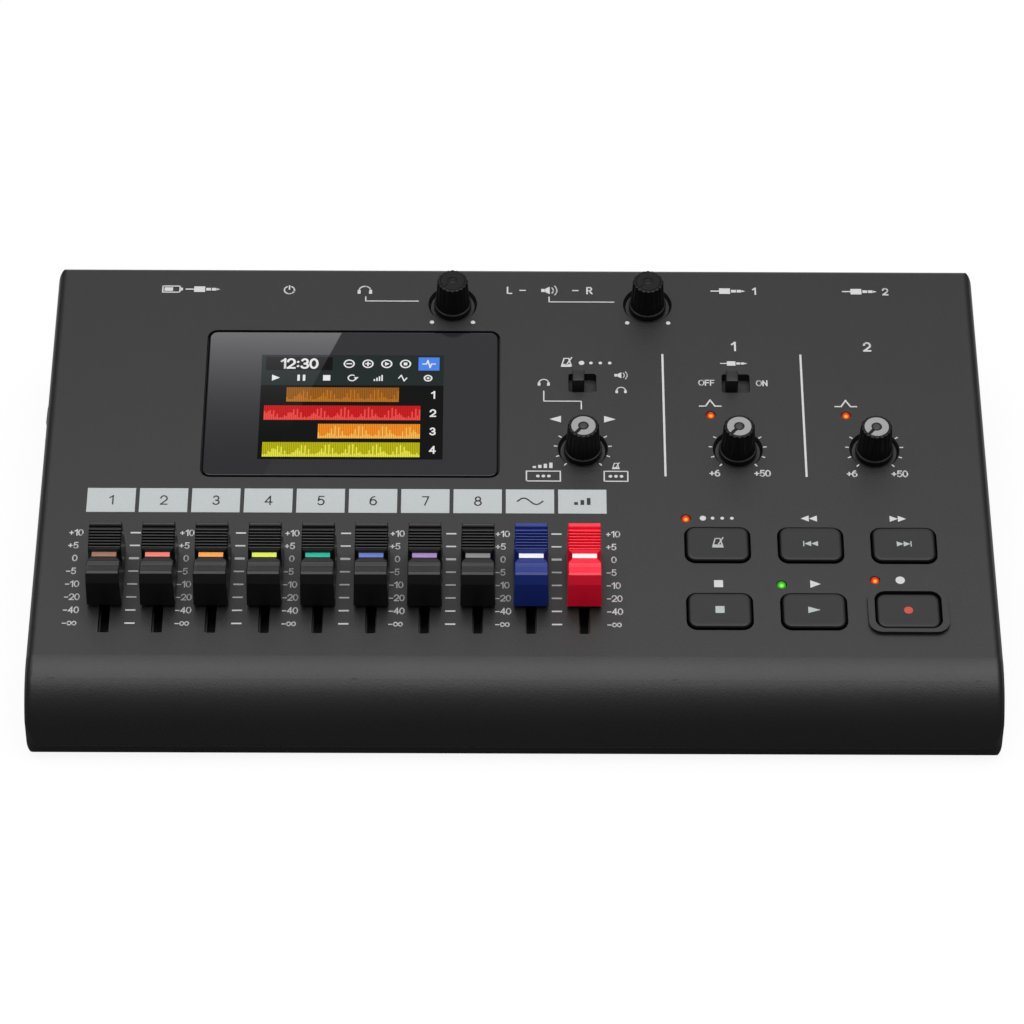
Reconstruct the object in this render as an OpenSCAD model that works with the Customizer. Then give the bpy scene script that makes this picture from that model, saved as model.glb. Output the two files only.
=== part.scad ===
// Digital multitrack recorder: a sloped panel with ten faders, a display, five knobs and six keys.
// Millimetres, X to the right, Y to the rear, Z up, standing on its feet at Z = 0.

/* [Case] */
// Width over the sides
case_w = 257; // [254:0.5:275]
// Depth from the front to the rear panel
case_d = 153.5; // [151.5:0.5:165]
// Height of the rear top corner above the table
rear_h = 39.3; // [38.9:0.1:42]
// Slope of the panel down to the front, in degrees
panel_slope = 7.1; // [6.7:0.1:7.5]
// Radius of the rounded front
nose_r = 19; // [18:0.5:20]
// Radius of the rear top edge
rear_r = 1.6; // [1:0.1:2]
// Radius of the panel's side edges
edge_r = 2.5; // [1.5:0.1:3]
// Radius of the rounded front's side edges
nose_edge_r = 2.3; // [1.4:0.1:2.4]
// Radius of the four upright corners
corner_r = 4; // [3:0.1:5]
// Thickness of the side walls
wall_t = 2.2; // [2:0.1:2.6]
// Thickness of the panel and the front
panel_t = 2.5; // [2.3:0.1:2.7]

/* [Bottom case] */
// Thickness of the floor
floor_t = 2; // [1.8:0.1:2.4]
// Height of the bottom case up to the seam
tray_h = 3.7; // [3.4:0.1:4.2]
// Radius of the edge around the underside
base_r = 2; // [1:0.1:2.5]
// Height of the feet below the bottom case
foot_h = 1.5; // [1.2:0.1:2]
// Diameter of a foot
foot_d = 10; // [8:0.5:14]
// Feet from the case sides
foot_side = 24; // [20:0.5:28]
// Feet from the front and the rear
foot_end = 20; // [18:0.5:24]
// Depth of the pocket that holds a foot
foot_pocket = 0.6; // [0.4:0.1:0.9]

/* [Display] */
// Width of the window
window_w = 80.7; // [78:0.1:82]
// Height of the window
window_h = 52.6; // [50:0.1:53]
// Corner radius of the window
window_r = 2.5; // [1:0.1:4]
// Thickness of the window
window_t = 1.2; // [1:0.1:1.3]
// Gap around the window
window_gap = 0.35; // [0.2:0.05:0.5]
// Middle of the window from the left side
window_left = 83.65; // [82:0.05:86]
// Middle of the window from the rear edge, along the panel
window_rear = 50.35; // [49.5:0.05:50.8]
// Width of the lit picture
lcd_w = 50.4; // [46:0.1:54]
// Height of the lit picture
lcd_h = 37.7; // [34:0.1:40]
// Distance of the picture's middle in front of the window's middle
lcd_shift = 1.4; // [-1:0.1:2]
// Thickness of the display frame below the panel
lcd_t = 2.4; // [1.5:0.1:3]

/* [Faders] */
// First fader from the left side
fader_left = 19.92; // [18.5:0.02:21]
// Distance from one fader to the next
fader_pitch = 14.11; // [13.8:0.01:14.5]
// Least distance of the last fader from the right side
faders_right = 110; // [109:0.1:115]
// Middle of the fader slots behind the panel's flat front end
fader_front = 26; // [25.2:0.1:27]
// Travel of a fader
fader_travel = 30; // [26:0.5:31]
// Rest position in front of the middle
fader_rest = 1.1; // [-4:0.1:4]
// Width of a slot in the panel
slot_w = 2.9; // [2.4:0.1:3.4]
// Length of a slot in the panel
slot_l = 37; // [36.6:0.1:39]
// Thickness of a fader lever
lever_t = 1.4; // [1:0.1:1.8]
// Length of a fader lever along the slot
lever_l = 5; // [4:0.1:5.4]
// Height of a lever's top above the panel
lever_top = 8.2; // [7:0.1:8.6]
// Play between a lever and the hole in its cap
lever_gap = 0.1; // [0.05:0.05:0.2]
// Length of a cap at its foot
cap_l = 19.3; // [17:0.1:20]
// Width of a cap at its foot
cap_w = 9.3; // [8:0.1:10]
// Width of a cap at its top
cap_top_w = 8.65; // [7:0.05:9]
// Height of a cap's top above the panel
cap_top = 13.2; // [11.5:0.1:14]
// Depth of the dip across a cap's middle
cap_dip = 2.2; // [1.5:0.1:2.6]
// Gap between a cap and the panel
cap_gap = 1.2; // [0.6:0.1:2]

/* [Knobs] */
// Phones level knob from the left side
phones_left = 111; // [109:0.1:113]
// Output level knob from the right side
output_right = 91.5; // [91:0.1:94]
// Balance knob from the left side
balance_left = 147; // [145:0.1:149]
// First gain knob from the right side
gain1_right = 67.75; // [66:0.05:70]
// Second gain knob from the right side
gain2_right = 30.5; // [29:0.1:32]
// Level knobs from the rear edge, along the panel
level_rear = 13.73; // [13:0.01:14.5]
// Balance and gain knobs from the rear edge
gain_rear = 66.5; // [66:0.1:68]
// Diameter of a knob
knob_d = 8.7; // [8.2:0.1:9.5]
// Diameter of a knob's skirt
skirt_d = 10.4; // [9.8:0.1:11]
// Height of a knob's top above the panel
knob_top = 9.8; // [9:0.1:11]
// Diameter of the dish around a knob
dish_d = 13.7; // [13:0.1:15]
// Depth of the dish
dish_deep = 1.2; // [1:0.1:1.3]
// Diameter of a pot shaft
shaft_d = 6; // [5.6:0.05:6.2]
// Radial play of a shaft in its pot
shaft_gap = 0.05; // [0.02:0.01:0.1]
// Radial play of a shaft in its knob
knob_gap = 0.03; // [0.01:0.01:0.1]

/* [Keys] */
// Right-hand key column from the right side
key_right = 24.3; // [23.5:0.1:26]
// Distance between key columns
key_pitch_u = 24.95; // [24:0.05:25.5]
// Front key row behind the panel's flat front end
key_front = 15.2; // [15:0.1:16]
// Distance between key rows
key_pitch_v = 22.55; // [22:0.05:23]
// Width of a key
key_w = 17; // [15:0.1:17.6]
// Height of a key
key_h = 11.7; // [10:0.1:12.2]
// Corner radius of a key
key_r = 2.6; // [1:0.1:4]
// Height of a key above the panel
key_proud = 0.8; // [0.4:0.1:1.5]
// Gap around a key
key_gap = 0.4; // [0.3:0.05:0.6]
// Travel of a key
key_travel = 0.8; // [0.4:0.1:0.8]
// Width of the raised ring around the record key
ring_w = 21.4; // [20.5:0.1:22.5]
// Height of the raised ring around the record key
ring_h = 14.9; // [14.5:0.1:16]
// Height of the ring above the panel
ring_proud = 1.1; // [0.8:0.1:1.5]

/* [Panel switches and lamps] */
// Click switch from the left side
click_left = 147.07; // [145:0.01:149]
// Input switch from the right side
input_right = 67.6; // [66:0.1:69]
// Both switches from the rear edge, along the panel
switch_rear = 42.75; // [42:0.05:44]
// Width of a switch opening
switch_w = 7.7; // [7:0.1:8.4]
// Height of a switch opening
switch_h = 6.7; // [5:0.1:7.4]
// Width of a switch lever
tab_w = 3.3; // [3:0.1:3.6]
// Depth of a switch lever
tab_h = 4; // [3.4:0.1:4.4]
// Height of a switch lever above the panel
tab_top = 3.3; // [2.5:0.1:4]
// Travel of a switch lever
tab_travel = 2.24; // [1.5:0.02:2.6]
// Thickness of the plate that covers a switch opening from below
cover_t = 0.6; // [0.5:0.1:0.7]
// Clearance above and below that plate
cover_gap = 0.3; // [0.2:0.05:0.35]
// Overlap of that plate around the opening
cover_lap = 0.6; // [0.4:0.1:0.8]
// Diameter of a lamp
lamp_d = 2.4; // [2:0.1:3]
// Gap around a lamp
lamp_gap = 0.15; // [0.1:0.05:0.25]
// Height of a lamp above the panel
lamp_proud = 0.5; // [0.2:0.1:0.9]

/* [Boards] */
// Depth of the main board's face below the panel
board_deep = 9; // [8.8:0.1:9.2]
// Thickness of both boards
board_t = 1.6; // [1.2:0.1:1.8]
// Distance of the main board's long edges from the case sides
board_side = 12; // [11.5:0.1:13]
// Radius of the posts that carry the main board
post_r = 2; // [1.7:0.1:2.2]
// Outer board posts from the case sides
post_side = 16.5; // [16:0.1:18]
// Rear board posts from the rear edge, along the panel
post_rear = 14; // [13:0.1:15]
// Middle board posts from the rear edge
post_mid = 84; // [82:0.1:85]
// Front board posts behind the panel's flat front end
post_front = 4.4; // [4:0.1:5]
// Board posts to the left of the keys, from the first key column
post_key = 20.8; // [19:0.1:22]
// Height of the jack board's face above the table
jack_z = 8; // [7.8:0.1:8.2]
// Depth of the jack board from front to rear
jack_board_d = 25.5; // [25:0.1:26.5]
// Left end of the jack board from the middle of the USB socket
jack_board_left = 12; // [10:0.1:13]
// Right end of the jack board from the middle of the second input jack
jack_board_right = 15; // [14:0.1:16]
// Front stands of the jack board from its front edge
stand_front = 4; // [3.5:0.1:4.5]
// Rear stand of the jack board from its rear edge
stand_rear = 5.5; // [5:0.1:7]

/* [Rear connectors] */
// Thickness of the rear panel
rear_t = 2.2; // [2:0.1:2.6]
// Gap around the rear panel
rear_gap = 0.15; // [0.1:0.05:0.3]
// USB socket, middle from the left side
usb_left = 36.9; // [35:0.1:39]
// Power switch, middle from the left side
power_left = 65.5; // [64:0.1:67]
// Phones jack, middle from the left side
phones_jack_left = 86.6; // [85:0.1:88]
// Left output jack, middle from the right side
out_l_right = 130.15; // [129:0.05:132]
// Distance from the left to the right output jack
out_pitch = 22.45; // [20:0.05:24]
// First input jack, middle from the right side
input1_right = 67.5; // [66.5:0.1:68.5]
// Second input jack, middle from the right side
input2_right = 30.6; // [30:0.1:31.5]
// Distance the phone jacks stand out of the rear panel
jack_proud = 4.5; // [4:0.1:5.5]
// Width and height of a phone jack's body
phone_body = 12; // [11.5:0.1:12.5]
// Length of a phone jack's body
phone_l = 22; // [20:0.5:23]
// Diameter of a phone jack's barrel
barrel_d = 9.2; // [8.8:0.1:9.6]
// Diameter of a phone jack's hole
plug_d = 6.4; // [6.3:0.05:6.6]
// Width of the jack nuts across the flats
nut_af = 11.6; // [11:0.1:12.5]
// Thickness of the jack nuts
nut_t = 2.6; // [2:0.1:3.4]
// Width of an input jack's housing
combo_w = 24; // [23.6:0.1:24.6]
// Height of an input jack's housing
combo_h = 23.6; // [23.2:0.1:24]
// Depth of an input jack's housing
combo_d = 24; // [23:0.1:24.4]
// Diameter of an input jack's round face
face_d = 22.8; // [22:0.1:23]
// Diameter of the round socket in an input jack
socket_d = 19.5; // [19:0.1:20]
// Diameter of the core in the socket
core_d = 15.3; // [14.6:0.1:15.8]
// Depth of the socket
socket_deep = 13; // [11:0.1:14]
// Diameter of the hole in the core
core_hole_d = 6.5; // [6.4:0.05:6.7]
// Play around the connectors in the rear panel
jack_gap = 0.15; // [0.1:0.05:0.3]
// Travel of the power switch lever
power_travel = 3; // [2:0.1:3.4]

/* [Battery bay] */
// Diameter of a cell
cell_d = 14.2; // [13.5:0.1:14.5]
// Length of a cell
cell_l = 50.3; // [49:0.1:50.5]
// Play around the cells
cell_gap = 0.3; // [0.2:0.05:0.4]
// Thickness of the bay's walls and roof
bay_t = 1.4; // [1.2:0.1:1.6]
// Thickness of the battery door
door_t = 1.6; // [1.4:0.1:1.8]
// Diameter of the finger recess in the battery door
grip_d = 10; // [8:0.5:14]
// Gap around the battery door
door_gap = 0.3; // [0.2:0.05:0.4]
// Width and height of the contact plates
contact_w = 9; // [7:0.5:11]
// Thickness of the contact plates
contact_t = 0.5; // [0.3:0.05:0.8]

/* [Card slot] */
// Middle of the card door from the rear edge, along the panel
card_rear = 51.6; // [50:0.1:53]
// Length of the card door
card_l = 22; // [18:0.5:24]
// Height of the card door
card_h = 9.6; // [8:0.1:10]
// Height of the card door's middle above the table
card_z = 24.6; // [24:0.1:25]
// Thickness of the card door
card_t = 1.8; // [1.6:0.1:1.9]
// Length of the finger lip on the card door
lip_l = 6.1; // [4:0.1:10]
// Distance the finger lip stands out
lip_proud = 0.3; // [0.2:0.1:0.8]
// Gap around the card door
card_gap = 0.3; // [0.2:0.05:0.5]
// Radius of the hinge pins
pin_r = 0.6; // [0.5:0.05:0.65]
// Play of the hinge pins
pin_gap = 0.05; // [0.03:0.01:0.1]

/* [Screws] */
// Case screws from the sides
screw_side = 7.2; // [7:0.1:7.6]
// Rear case screws from the rear panel
screw_rear = 12.5; // [12:0.1:13]
// Front case screws from the front
screw_front = 13.5; // [13:0.1:14]
// Inner case screws from the middle
screw_mid = 42; // [38:0.5:46]
// Radius of the case screw posts
boss_r = 3.4; // [3.2:0.1:3.6]
// Radius of a case screw's shank
shank_r = 1.4; // [1.2:0.05:1.6]
// Radius of a case screw's head
head_r = 2.6; // [2.3:0.1:2.8]
// Radial play of a screw in its hole
screw_gap = 0.05; // [0.03:0.01:0.15]

/* [Hidden] */
$fn = 48;
e = 0.05;
sl = sin(panel_slope);
cl = cos(panel_slope);
front_y = -(case_d + jack_proud) / 2;
rear_y = front_y + case_d;
left_x = -case_w / 2;
right_x = case_w / 2;
bottom_z = foot_h;
floor_z = bottom_z + floor_t;
seam_z = bottom_z + tray_h;
// Middle of the rounded front, and where the flat panel ends
nose_y = front_y + nose_r;
nose_z = rear_h + ((nose_y - rear_y) * sl - nose_r) / cl;
flat_l = (rear_y - nose_y + nose_r * sl) / cl;
// Middle of the rear top edge's rounding
rear_cy = rear_y - rear_r;
rear_cz = rear_h - (rear_r * sl + rear_r) / cl;
// Height of a plane n above the panel at depth y
function level_z(y, n) = rear_h + (n + (y - rear_y) * sl) / cl;
// Height of the middle of the panel or nose thickness at depth y
function roof_z(y) =
    y > nose_y - nose_r * sl
    ? level_z(y, -panel_t / 2)
    : nose_z + sqrt(pow(nose_r - panel_t / 2, 2) - pow(y - nose_y, 2));
rear_half = case_w / 2 - corner_r - 0.3;
rear_top = level_z(rear_y - rear_t, -panel_t) - rear_gap;
// As many faders as fit beside the keys
fader_count = 1 + floor((case_w - fader_left - faders_right) / fader_pitch);
fader_v = flat_l - fader_front;
fader_body_w = 9;
fader_body_l = fader_travel + 14;
fader_body_h = board_deep - panel_t - 0.6;
function fader_u(i) = left_x + fader_left + i * fader_pitch;
window_u = left_x + window_left;
knob_at = [
    [left_x + phones_left, level_rear],
    [right_x - output_right, level_rear],
    [left_x + balance_left, gain_rear],
    [right_x - gain1_right, gain_rear],
    [right_x - gain2_right, gain_rear]
];
knob_names = ["phones", "output", "balance", "gain_1", "gain_2"];
pot_h = board_deep - panel_t - 0.7;
key_names = ["click", "rewind", "forward", "stop", "play", "record"];
function key_u(i) = right_x - key_right - (2 - i % 3) * key_pitch_u;
function key_v(i) = flat_l - key_front - (i < 3 ? key_pitch_v : 0);
flange_n = -panel_t - 0.2;
flange_t = 1;
stem_n = flange_n - flange_t - 0.3;
cover_n = -panel_t - cover_gap;
switch_at = [[left_x + click_left, switch_rear], [right_x - input_right, switch_rear]];
lamp_at = [
    [key_u(0) - 8.28, key_v(0) - 9.25],
    [key_u(4) - 8.25, key_v(4) - 9.2],
    [key_u(5) - 8.3, key_v(5) - 10.8],
    [knob_at[3][0] - 7.05, gain_rear - 12.3],
    [knob_at[4][0] - 7.2, gain_rear - 12.3]
];
board_v0 = 6.5;
board_v1 = flat_l - 1.5;
post_at = [
    [left_x + post_side, post_rear],
    [(knob_at[0][0] + knob_at[1][0]) / 2, post_rear],
    [left_x + post_side, post_mid],
    [key_u(0) - post_key, post_mid],
    [right_x - post_side, post_mid],
    [key_u(0) - post_key, flat_l - post_front],
    [right_x - post_side, flat_l - post_front]
];
case_screw_at = [
    [left_x + screw_side, rear_y - screw_rear],
    [right_x - screw_side, rear_y - screw_rear],
    [left_x + screw_side, front_y + screw_front],
    [right_x - screw_side, front_y + screw_front],
    [-screw_mid, front_y + screw_front],
    [screw_mid, front_y + screw_front]
];
head_deep = 1.9;
head_t = 1.6;
jack_rear = rear_y - rear_t - 0.8;
jack_front = jack_rear - jack_board_d;
usb_x = left_x + usb_left;
power_x = left_x + power_left;
phone_x = [
    left_x + phones_jack_left,
    right_x - out_l_right,
    right_x - out_l_right + out_pitch
];
combo_x = [right_x - input1_right, right_x - input2_right];
phone_z = jack_z + phone_body / 2;
combo_z = jack_z + combo_h / 2;
combo_front = rear_y - rear_t - 0.1 - combo_d;
face_y = rear_y + 0.5;
stand_at = [
    [(usb_x + power_x) / 2, jack_front + stand_front],
    [(usb_x + power_x) / 2, jack_rear - stand_rear],
    [(power_x + phone_x[0]) / 2, jack_front + stand_front],
    [(phone_x[1] + phone_x[2]) / 2, jack_front + stand_front],
    [(combo_x[0] + combo_x[1]) / 2, jack_front + stand_front]
];
usb_w = 9;
usb_h = 3.3;
power_tab_w = 3.6;
power_tab_h = 2.4;
power_z = jack_z + 3;
bay_l = 2 * cell_l + 2 * contact_t + 3 * cell_gap;
bay_w = 2 * cell_d + 3 * cell_gap;
bay_z0 = bottom_z + door_t;
bay_z1 = bay_z0 + cell_d + 2 * cell_gap;
bay_top = bay_z1 + bay_t;
// The bay stands as far to the front as the sloping main board lets it
bay_y0 = rear_y + ((bay_top + 0.8 - rear_h) * cl + board_deep + board_t) / sl + bay_t;
bay_y1 = bay_y0 + bay_w;
card_y = rear_y - card_rear * cl;
card_axis_x = left_x + 1.1;
card_axis_z = card_z - card_h / 2 + 1;
foot_at = [
    [left_x + foot_side, front_y + foot_end],
    [right_x - foot_side, front_y + foot_end],
    [left_x + foot_side, rear_y - foot_end],
    [right_x - foot_side, rear_y - foot_end]
];

// Places children on the panel: u across, v from the rear edge, n above the face
module on_panel(u, v, n = 0) {
    translate([0, rear_y, rear_h])
        rotate([panel_slope, 0, 0])
        translate([u, -v, n])
        children();
}

module rounded_rect(w, h, r) {
    square([w - 2 * r, h], center = true);
    square([w, h - 2 * r], center = true);
    for (x = [-1, 1], y = [-1, 1])
        translate([x * (w / 2 - r), y * (h / 2 - r)]) circle(r);
}

// Rounded plate from height n0 to n1
module pad(w, h, r, n0, n1) {
    translate([0, 0, n0]) linear_extrude(n1 - n0) rounded_rect(w, h, r);
}

// Box given by its two opposite corners
module box(a, b) {
    translate(a) cube(b - a);
}

// Cylinder along Y from y0 to y1
module rod_y(x, z, r, y0, y1) {
    translate([x, y1, z]) rotate([90, 0, 0]) cylinder(r = r, h = y1 - y0);
}

// Side view of the case
module outer_profile() {
    low = min(seam_z, nose_z) - 1;
    polygon([
        [nose_y, nose_z],
        [nose_y, low],
        [rear_y, low],
        [rear_y, rear_cz],
        [rear_cy - rear_r * sl, rear_cz + rear_r * cl],
        [nose_y - nose_r * sl, nose_z + nose_r * cl]
    ]);
    translate([rear_cy, rear_cz]) circle(rear_r);
    translate([nose_y, nose_z]) circle(nose_r);
}

// What rounding a square edge takes away: the edge is at the origin, the body below left of it
module edge_waste(r) {
    difference() {
        translate([-r, -r]) square(r + 1);
        translate([-r, -r]) circle(r);
    }
}

// Rounds the right-hand edge of the panel and of the front
module side_edge_waste() {
    on_panel(right_x, -nose_r) rotate([90, 0, 0]) linear_extrude(nose_r + flat_l) edge_waste(edge_r);
    translate([0, nose_y, nose_z])
        rotate([0, 90, 0])
        rotate([0, 0, 180 + panel_slope])
        rotate_extrude(angle = 118)
        translate([nose_r, right_x])
        edge_waste(nose_edge_r);
}

module outer_form() {
    difference() {
        intersection() {
            rotate([90, 0, 90]) linear_extrude(case_w, center = true) outer_profile();
            translate([0, (front_y + rear_y) / 2, seam_z])
                linear_extrude(rear_h)
                rounded_rect(case_w, case_d, corner_r);
        }
        side_edge_waste();
        mirror([1, 0, 0]) side_edge_waste();
    }
}

// Side view of the space inside the case
module inner_profile() {
    r = nose_r - panel_t;
    low = min(seam_z, nose_z) - 1;
    polygon([
        [nose_y, nose_z],
        [nose_y, low],
        [rear_y + 1, low],
        [rear_y + 1, level_z(rear_y + 1, -panel_t)],
        [nose_y - r * sl, nose_z + r * cl]
    ]);
    translate([nose_y, nose_z]) circle(r);
}

module inner_form() {
    block_y = rear_y - 8;
    inner_x = right_x - wall_t;
    intersection() {
        rotate([90, 0, 90]) linear_extrude(case_w, center = true) inner_profile();
        union() {
            box([-inner_x, front_y, seam_z - 1], [inner_x, block_y, rear_h]);
            box([-rear_half, block_y - 1, seam_z - 1], [rear_half, rear_y + 2, rear_h]);
        }
    }
}

// Openings through the panel
module panel_cuts() {
    on_panel(window_u, window_rear)
        pad(window_w + 2 * window_gap, window_h + 2 * window_gap, window_r + window_gap, -window_t, 1);
    on_panel(window_u, window_rear + lcd_shift)
        pad(lcd_w + 3.6, lcd_h + 3.6, 1, -panel_t - 1, 1);
    for (i = [0:fader_count - 1])
        on_panel(fader_u(i), fader_v) pad(slot_w, slot_l, 0.5, -panel_t - 1, 1);
    for (i = [0:5])
        on_panel(key_u(i), key_v(i))
            pad(key_w + 2 * key_gap, key_h + 2 * key_gap, key_r + key_gap, -panel_t - 1, 2);
    for (p = switch_at)
        on_panel(p[0], p[1]) pad(switch_w, switch_h, 0.8, -panel_t - 1, 1);
    for (p = lamp_at)
        on_panel(p[0], p[1], -panel_t - 1) cylinder(r = lamp_d / 2 + lamp_gap, h = panel_t + 3);
    for (p = knob_at) {
        on_panel(p[0], p[1], -dish_deep)
            cylinder(r1 = dish_d / 2 - 0.75, r2 = dish_d / 2, h = dish_deep + e);
        on_panel(p[0], p[1], -panel_t - 1) cylinder(r = shaft_d / 2 + 0.6, h = panel_t + 2);
    }
}

module top_case() {
    color([0.27, 0.27, 0.28])
    difference() {
        union() {
            difference() {
                outer_form();
                inner_form();
            }
            for (p = case_screw_at)
                translate([p[0], p[1], seam_z]) cylinder(r = boss_r, h = roof_z(p[1]) - seam_z);
            for (p = post_at)
                on_panel(p[0], p[1], -board_deep) cylinder(r = post_r, h = board_deep - panel_t / 2);
            on_panel(key_u(5), key_v(5)) pad(ring_w, ring_h, 3.6, -1, ring_proud);
        }
        panel_cuts();
        for (p = case_screw_at)
            translate([p[0], p[1], seam_z - 1]) cylinder(r = shank_r + screw_gap, h = 9.5);
        for (p = post_at)
            on_panel(p[0], p[1], -board_deep - 1) cylinder(r = 0.9 + screw_gap, h = 6);
        box(
            [left_x - 1, card_y - card_l / 2 - card_gap, card_z - card_h / 2 - card_gap],
            [left_x + wall_t + 1, card_y + card_l / 2 + card_gap, card_z + card_h / 2 + card_gap]
        );
        rod_y(
            card_axis_x, card_axis_z, pin_r + pin_gap,
            card_y - card_l / 2 - 1.8, card_y + card_l / 2 + 1.8
        );
    }
}

// Section of the tray with its two rounded lower edges
module tray_section(w) {
    translate([-w / 2 + base_r, 0]) square([w - 2 * base_r, tray_h]);
    translate([-w / 2, base_r]) square([w, tray_h - base_r]);
    for (x = [-1, 1]) translate([x * (w / 2 - base_r), base_r]) circle(base_r);
}

module tray_form() {
    mid_y = (front_y + rear_y) / 2;
    intersection() {
        translate([0, mid_y, bottom_z])
            linear_extrude(tray_h)
            rounded_rect(case_w, case_d, corner_r);
        translate([0, mid_y, bottom_z])
            rotate([90, 0, 90])
            linear_extrude(case_w, center = true)
            tray_section(case_d);
        translate([0, mid_y, bottom_z])
            rotate([90, 0, 0])
            linear_extrude(case_d, center = true)
            tray_section(case_w);
    }
}

module bottom_case() {
    color([0.1, 0.1, 0.11])
    difference() {
        union() {
            difference() {
                tray_form();
                translate([0, (front_y + rear_y) / 2, floor_z])
                    linear_extrude(tray_h)
                    rounded_rect(case_w - 2 * wall_t, case_d - 2 * wall_t, corner_r - wall_t);
            }
            for (p = case_screw_at)
                translate([p[0], p[1], floor_z - e]) cylinder(r = boss_r, h = seam_z - floor_z + e);
            box(
                [-bay_l / 2 - bay_t, bay_y0 - bay_t, floor_z - e],
                [bay_l / 2 + bay_t, bay_y1 + bay_t, bay_top]
            );
            for (p = stand_at)
                translate([p[0], p[1], floor_z - e])
                    cylinder(r = 2.5, h = jack_z - board_t - floor_z + e);
        }
        box([-bay_l / 2, bay_y0, bottom_z - 1], [bay_l / 2, bay_y1, bay_z1]);
        for (p = case_screw_at) {
            translate([p[0], p[1], bottom_z - 1]) cylinder(r = head_r + 0.3, h = head_deep + 1);
            translate([p[0], p[1], bottom_z]) cylinder(r = shank_r + screw_gap, h = tray_h + 1);
        }
        for (p = stand_at)
            translate([p[0], p[1], floor_z]) cylinder(r = 0.9 + screw_gap, h = jack_z);
        for (p = foot_at)
            translate([p[0], p[1], bottom_z - 1])
                cylinder(r = foot_d / 2 + 0.1, h = foot_pocket + 1);
    }
}

module rear_panel() {
    y0 = rear_y - rear_t;
    color([0.1, 0.1, 0.11])
    difference() {
        box([-rear_half + rear_gap, y0, seam_z], [rear_half - rear_gap, rear_y, rear_top]);
        for (x = phone_x) rod_y(x, phone_z, barrel_d / 2 + jack_gap, y0 - 1, rear_y + 1);
        for (x = combo_x) rod_y(x, combo_z, face_d / 2 + jack_gap, y0 - 1, rear_y + 1);
        box(
            [usb_x - usb_w / 2 - jack_gap, y0 - 1, jack_z - jack_gap],
            [usb_x + usb_w / 2 + jack_gap, rear_y + 1, jack_z + usb_h + jack_gap]
        );
        box(
            [
                power_x - power_tab_w / 2 - power_travel / 2 - 0.4,
                y0 - 1,
                power_z - power_tab_h / 2 - 0.4
            ],
            [
                power_x + power_tab_w / 2 + power_travel / 2 + 0.4,
                rear_y + 1,
                power_z + power_tab_h / 2 + 0.4
            ]
        );
    }
}

module display_window() {
    color([0.03, 0.03, 0.035])
        on_panel(window_u, window_rear) pad(window_w, window_h, window_r, -window_t + e, 0);
}

module display_module() {
    color([0.12, 0.12, 0.14])
    on_panel(window_u, window_rear + lcd_shift) {
        pad(lcd_w + 3, lcd_h + 3, 0.8, -panel_t - 1, -window_t - e);
        pad(lcd_w + 10, lcd_h + 9, 1, -panel_t - lcd_t, -panel_t - e);
        for (x = [-1, 1], y = [-1, 1])
            translate([x * lcd_w / 2, y * lcd_h / 2, -board_deep])
                cylinder(r = 1.5, h = board_deep - panel_t - 1);
    }
}

// Outline of the main board seen square to the panel, with v counted downwards
module board_outline() {
    half = right_x - board_side;
    cut_u = combo_x[0] - combo_w / 2 - 2;
    cut_v = combo_d + rear_t + 3.5;
    polygon([
        [-half, -board_v0],
        [cut_u, -board_v0],
        [cut_u, -cut_v],
        [half, -cut_v],
        [half, -board_v1],
        [-half, -board_v1],
        [-half, -card_rear - 9],
        [left_x + wall_t + 1, -card_rear - 9],
        [left_x + wall_t + 1, -card_rear + 9],
        [-half, -card_rear + 9]
    ]);
}

module main_board() {
    color([0.05, 0.25, 0.12])
    difference() {
        on_panel(0, 0, -board_deep - board_t) linear_extrude(board_t) board_outline();
        for (p = post_at)
            on_panel(p[0], p[1], -board_deep - board_t - 1)
                cylinder(r = 0.9 + screw_gap, h = board_t + 2);
    }
}

module jack_board() {
    color([0.05, 0.25, 0.12])
    difference() {
        box(
            [usb_x - jack_board_left, jack_front, jack_z - board_t],
            [combo_x[1] + jack_board_right, jack_rear, jack_z]
        );
        for (p = stand_at)
            translate([p[0], p[1], jack_z - board_t - 1])
                cylinder(r = 0.9 + screw_gap, h = board_t + 2);
    }
}

module fader_bodies() {
    color([0.55, 0.56, 0.58])
    for (i = [0:fader_count - 1])
        on_panel(fader_u(i), fader_v, -board_deep)
            difference() {
                pad(fader_body_w, fader_body_l, 0.4, 0, fader_body_h);
                pad(6.2, fader_travel + 8, 0.3, 0.6, fader_body_h - 0.8);
                pad(2.2, fader_travel + lever_l + 1.2, 0.3, 1, fader_body_h + 1);
            }
}

module pot_bodies() {
    color([0.5, 0.5, 0.52])
    for (p = knob_at)
        on_panel(p[0], p[1], -board_deep)
            difference() {
                pad(10, 11, 0.5, 0, pot_h);
                translate([0, 0, 1]) cylinder(r = shaft_d / 2 + shaft_gap, h = pot_h);
            }
}

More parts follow.
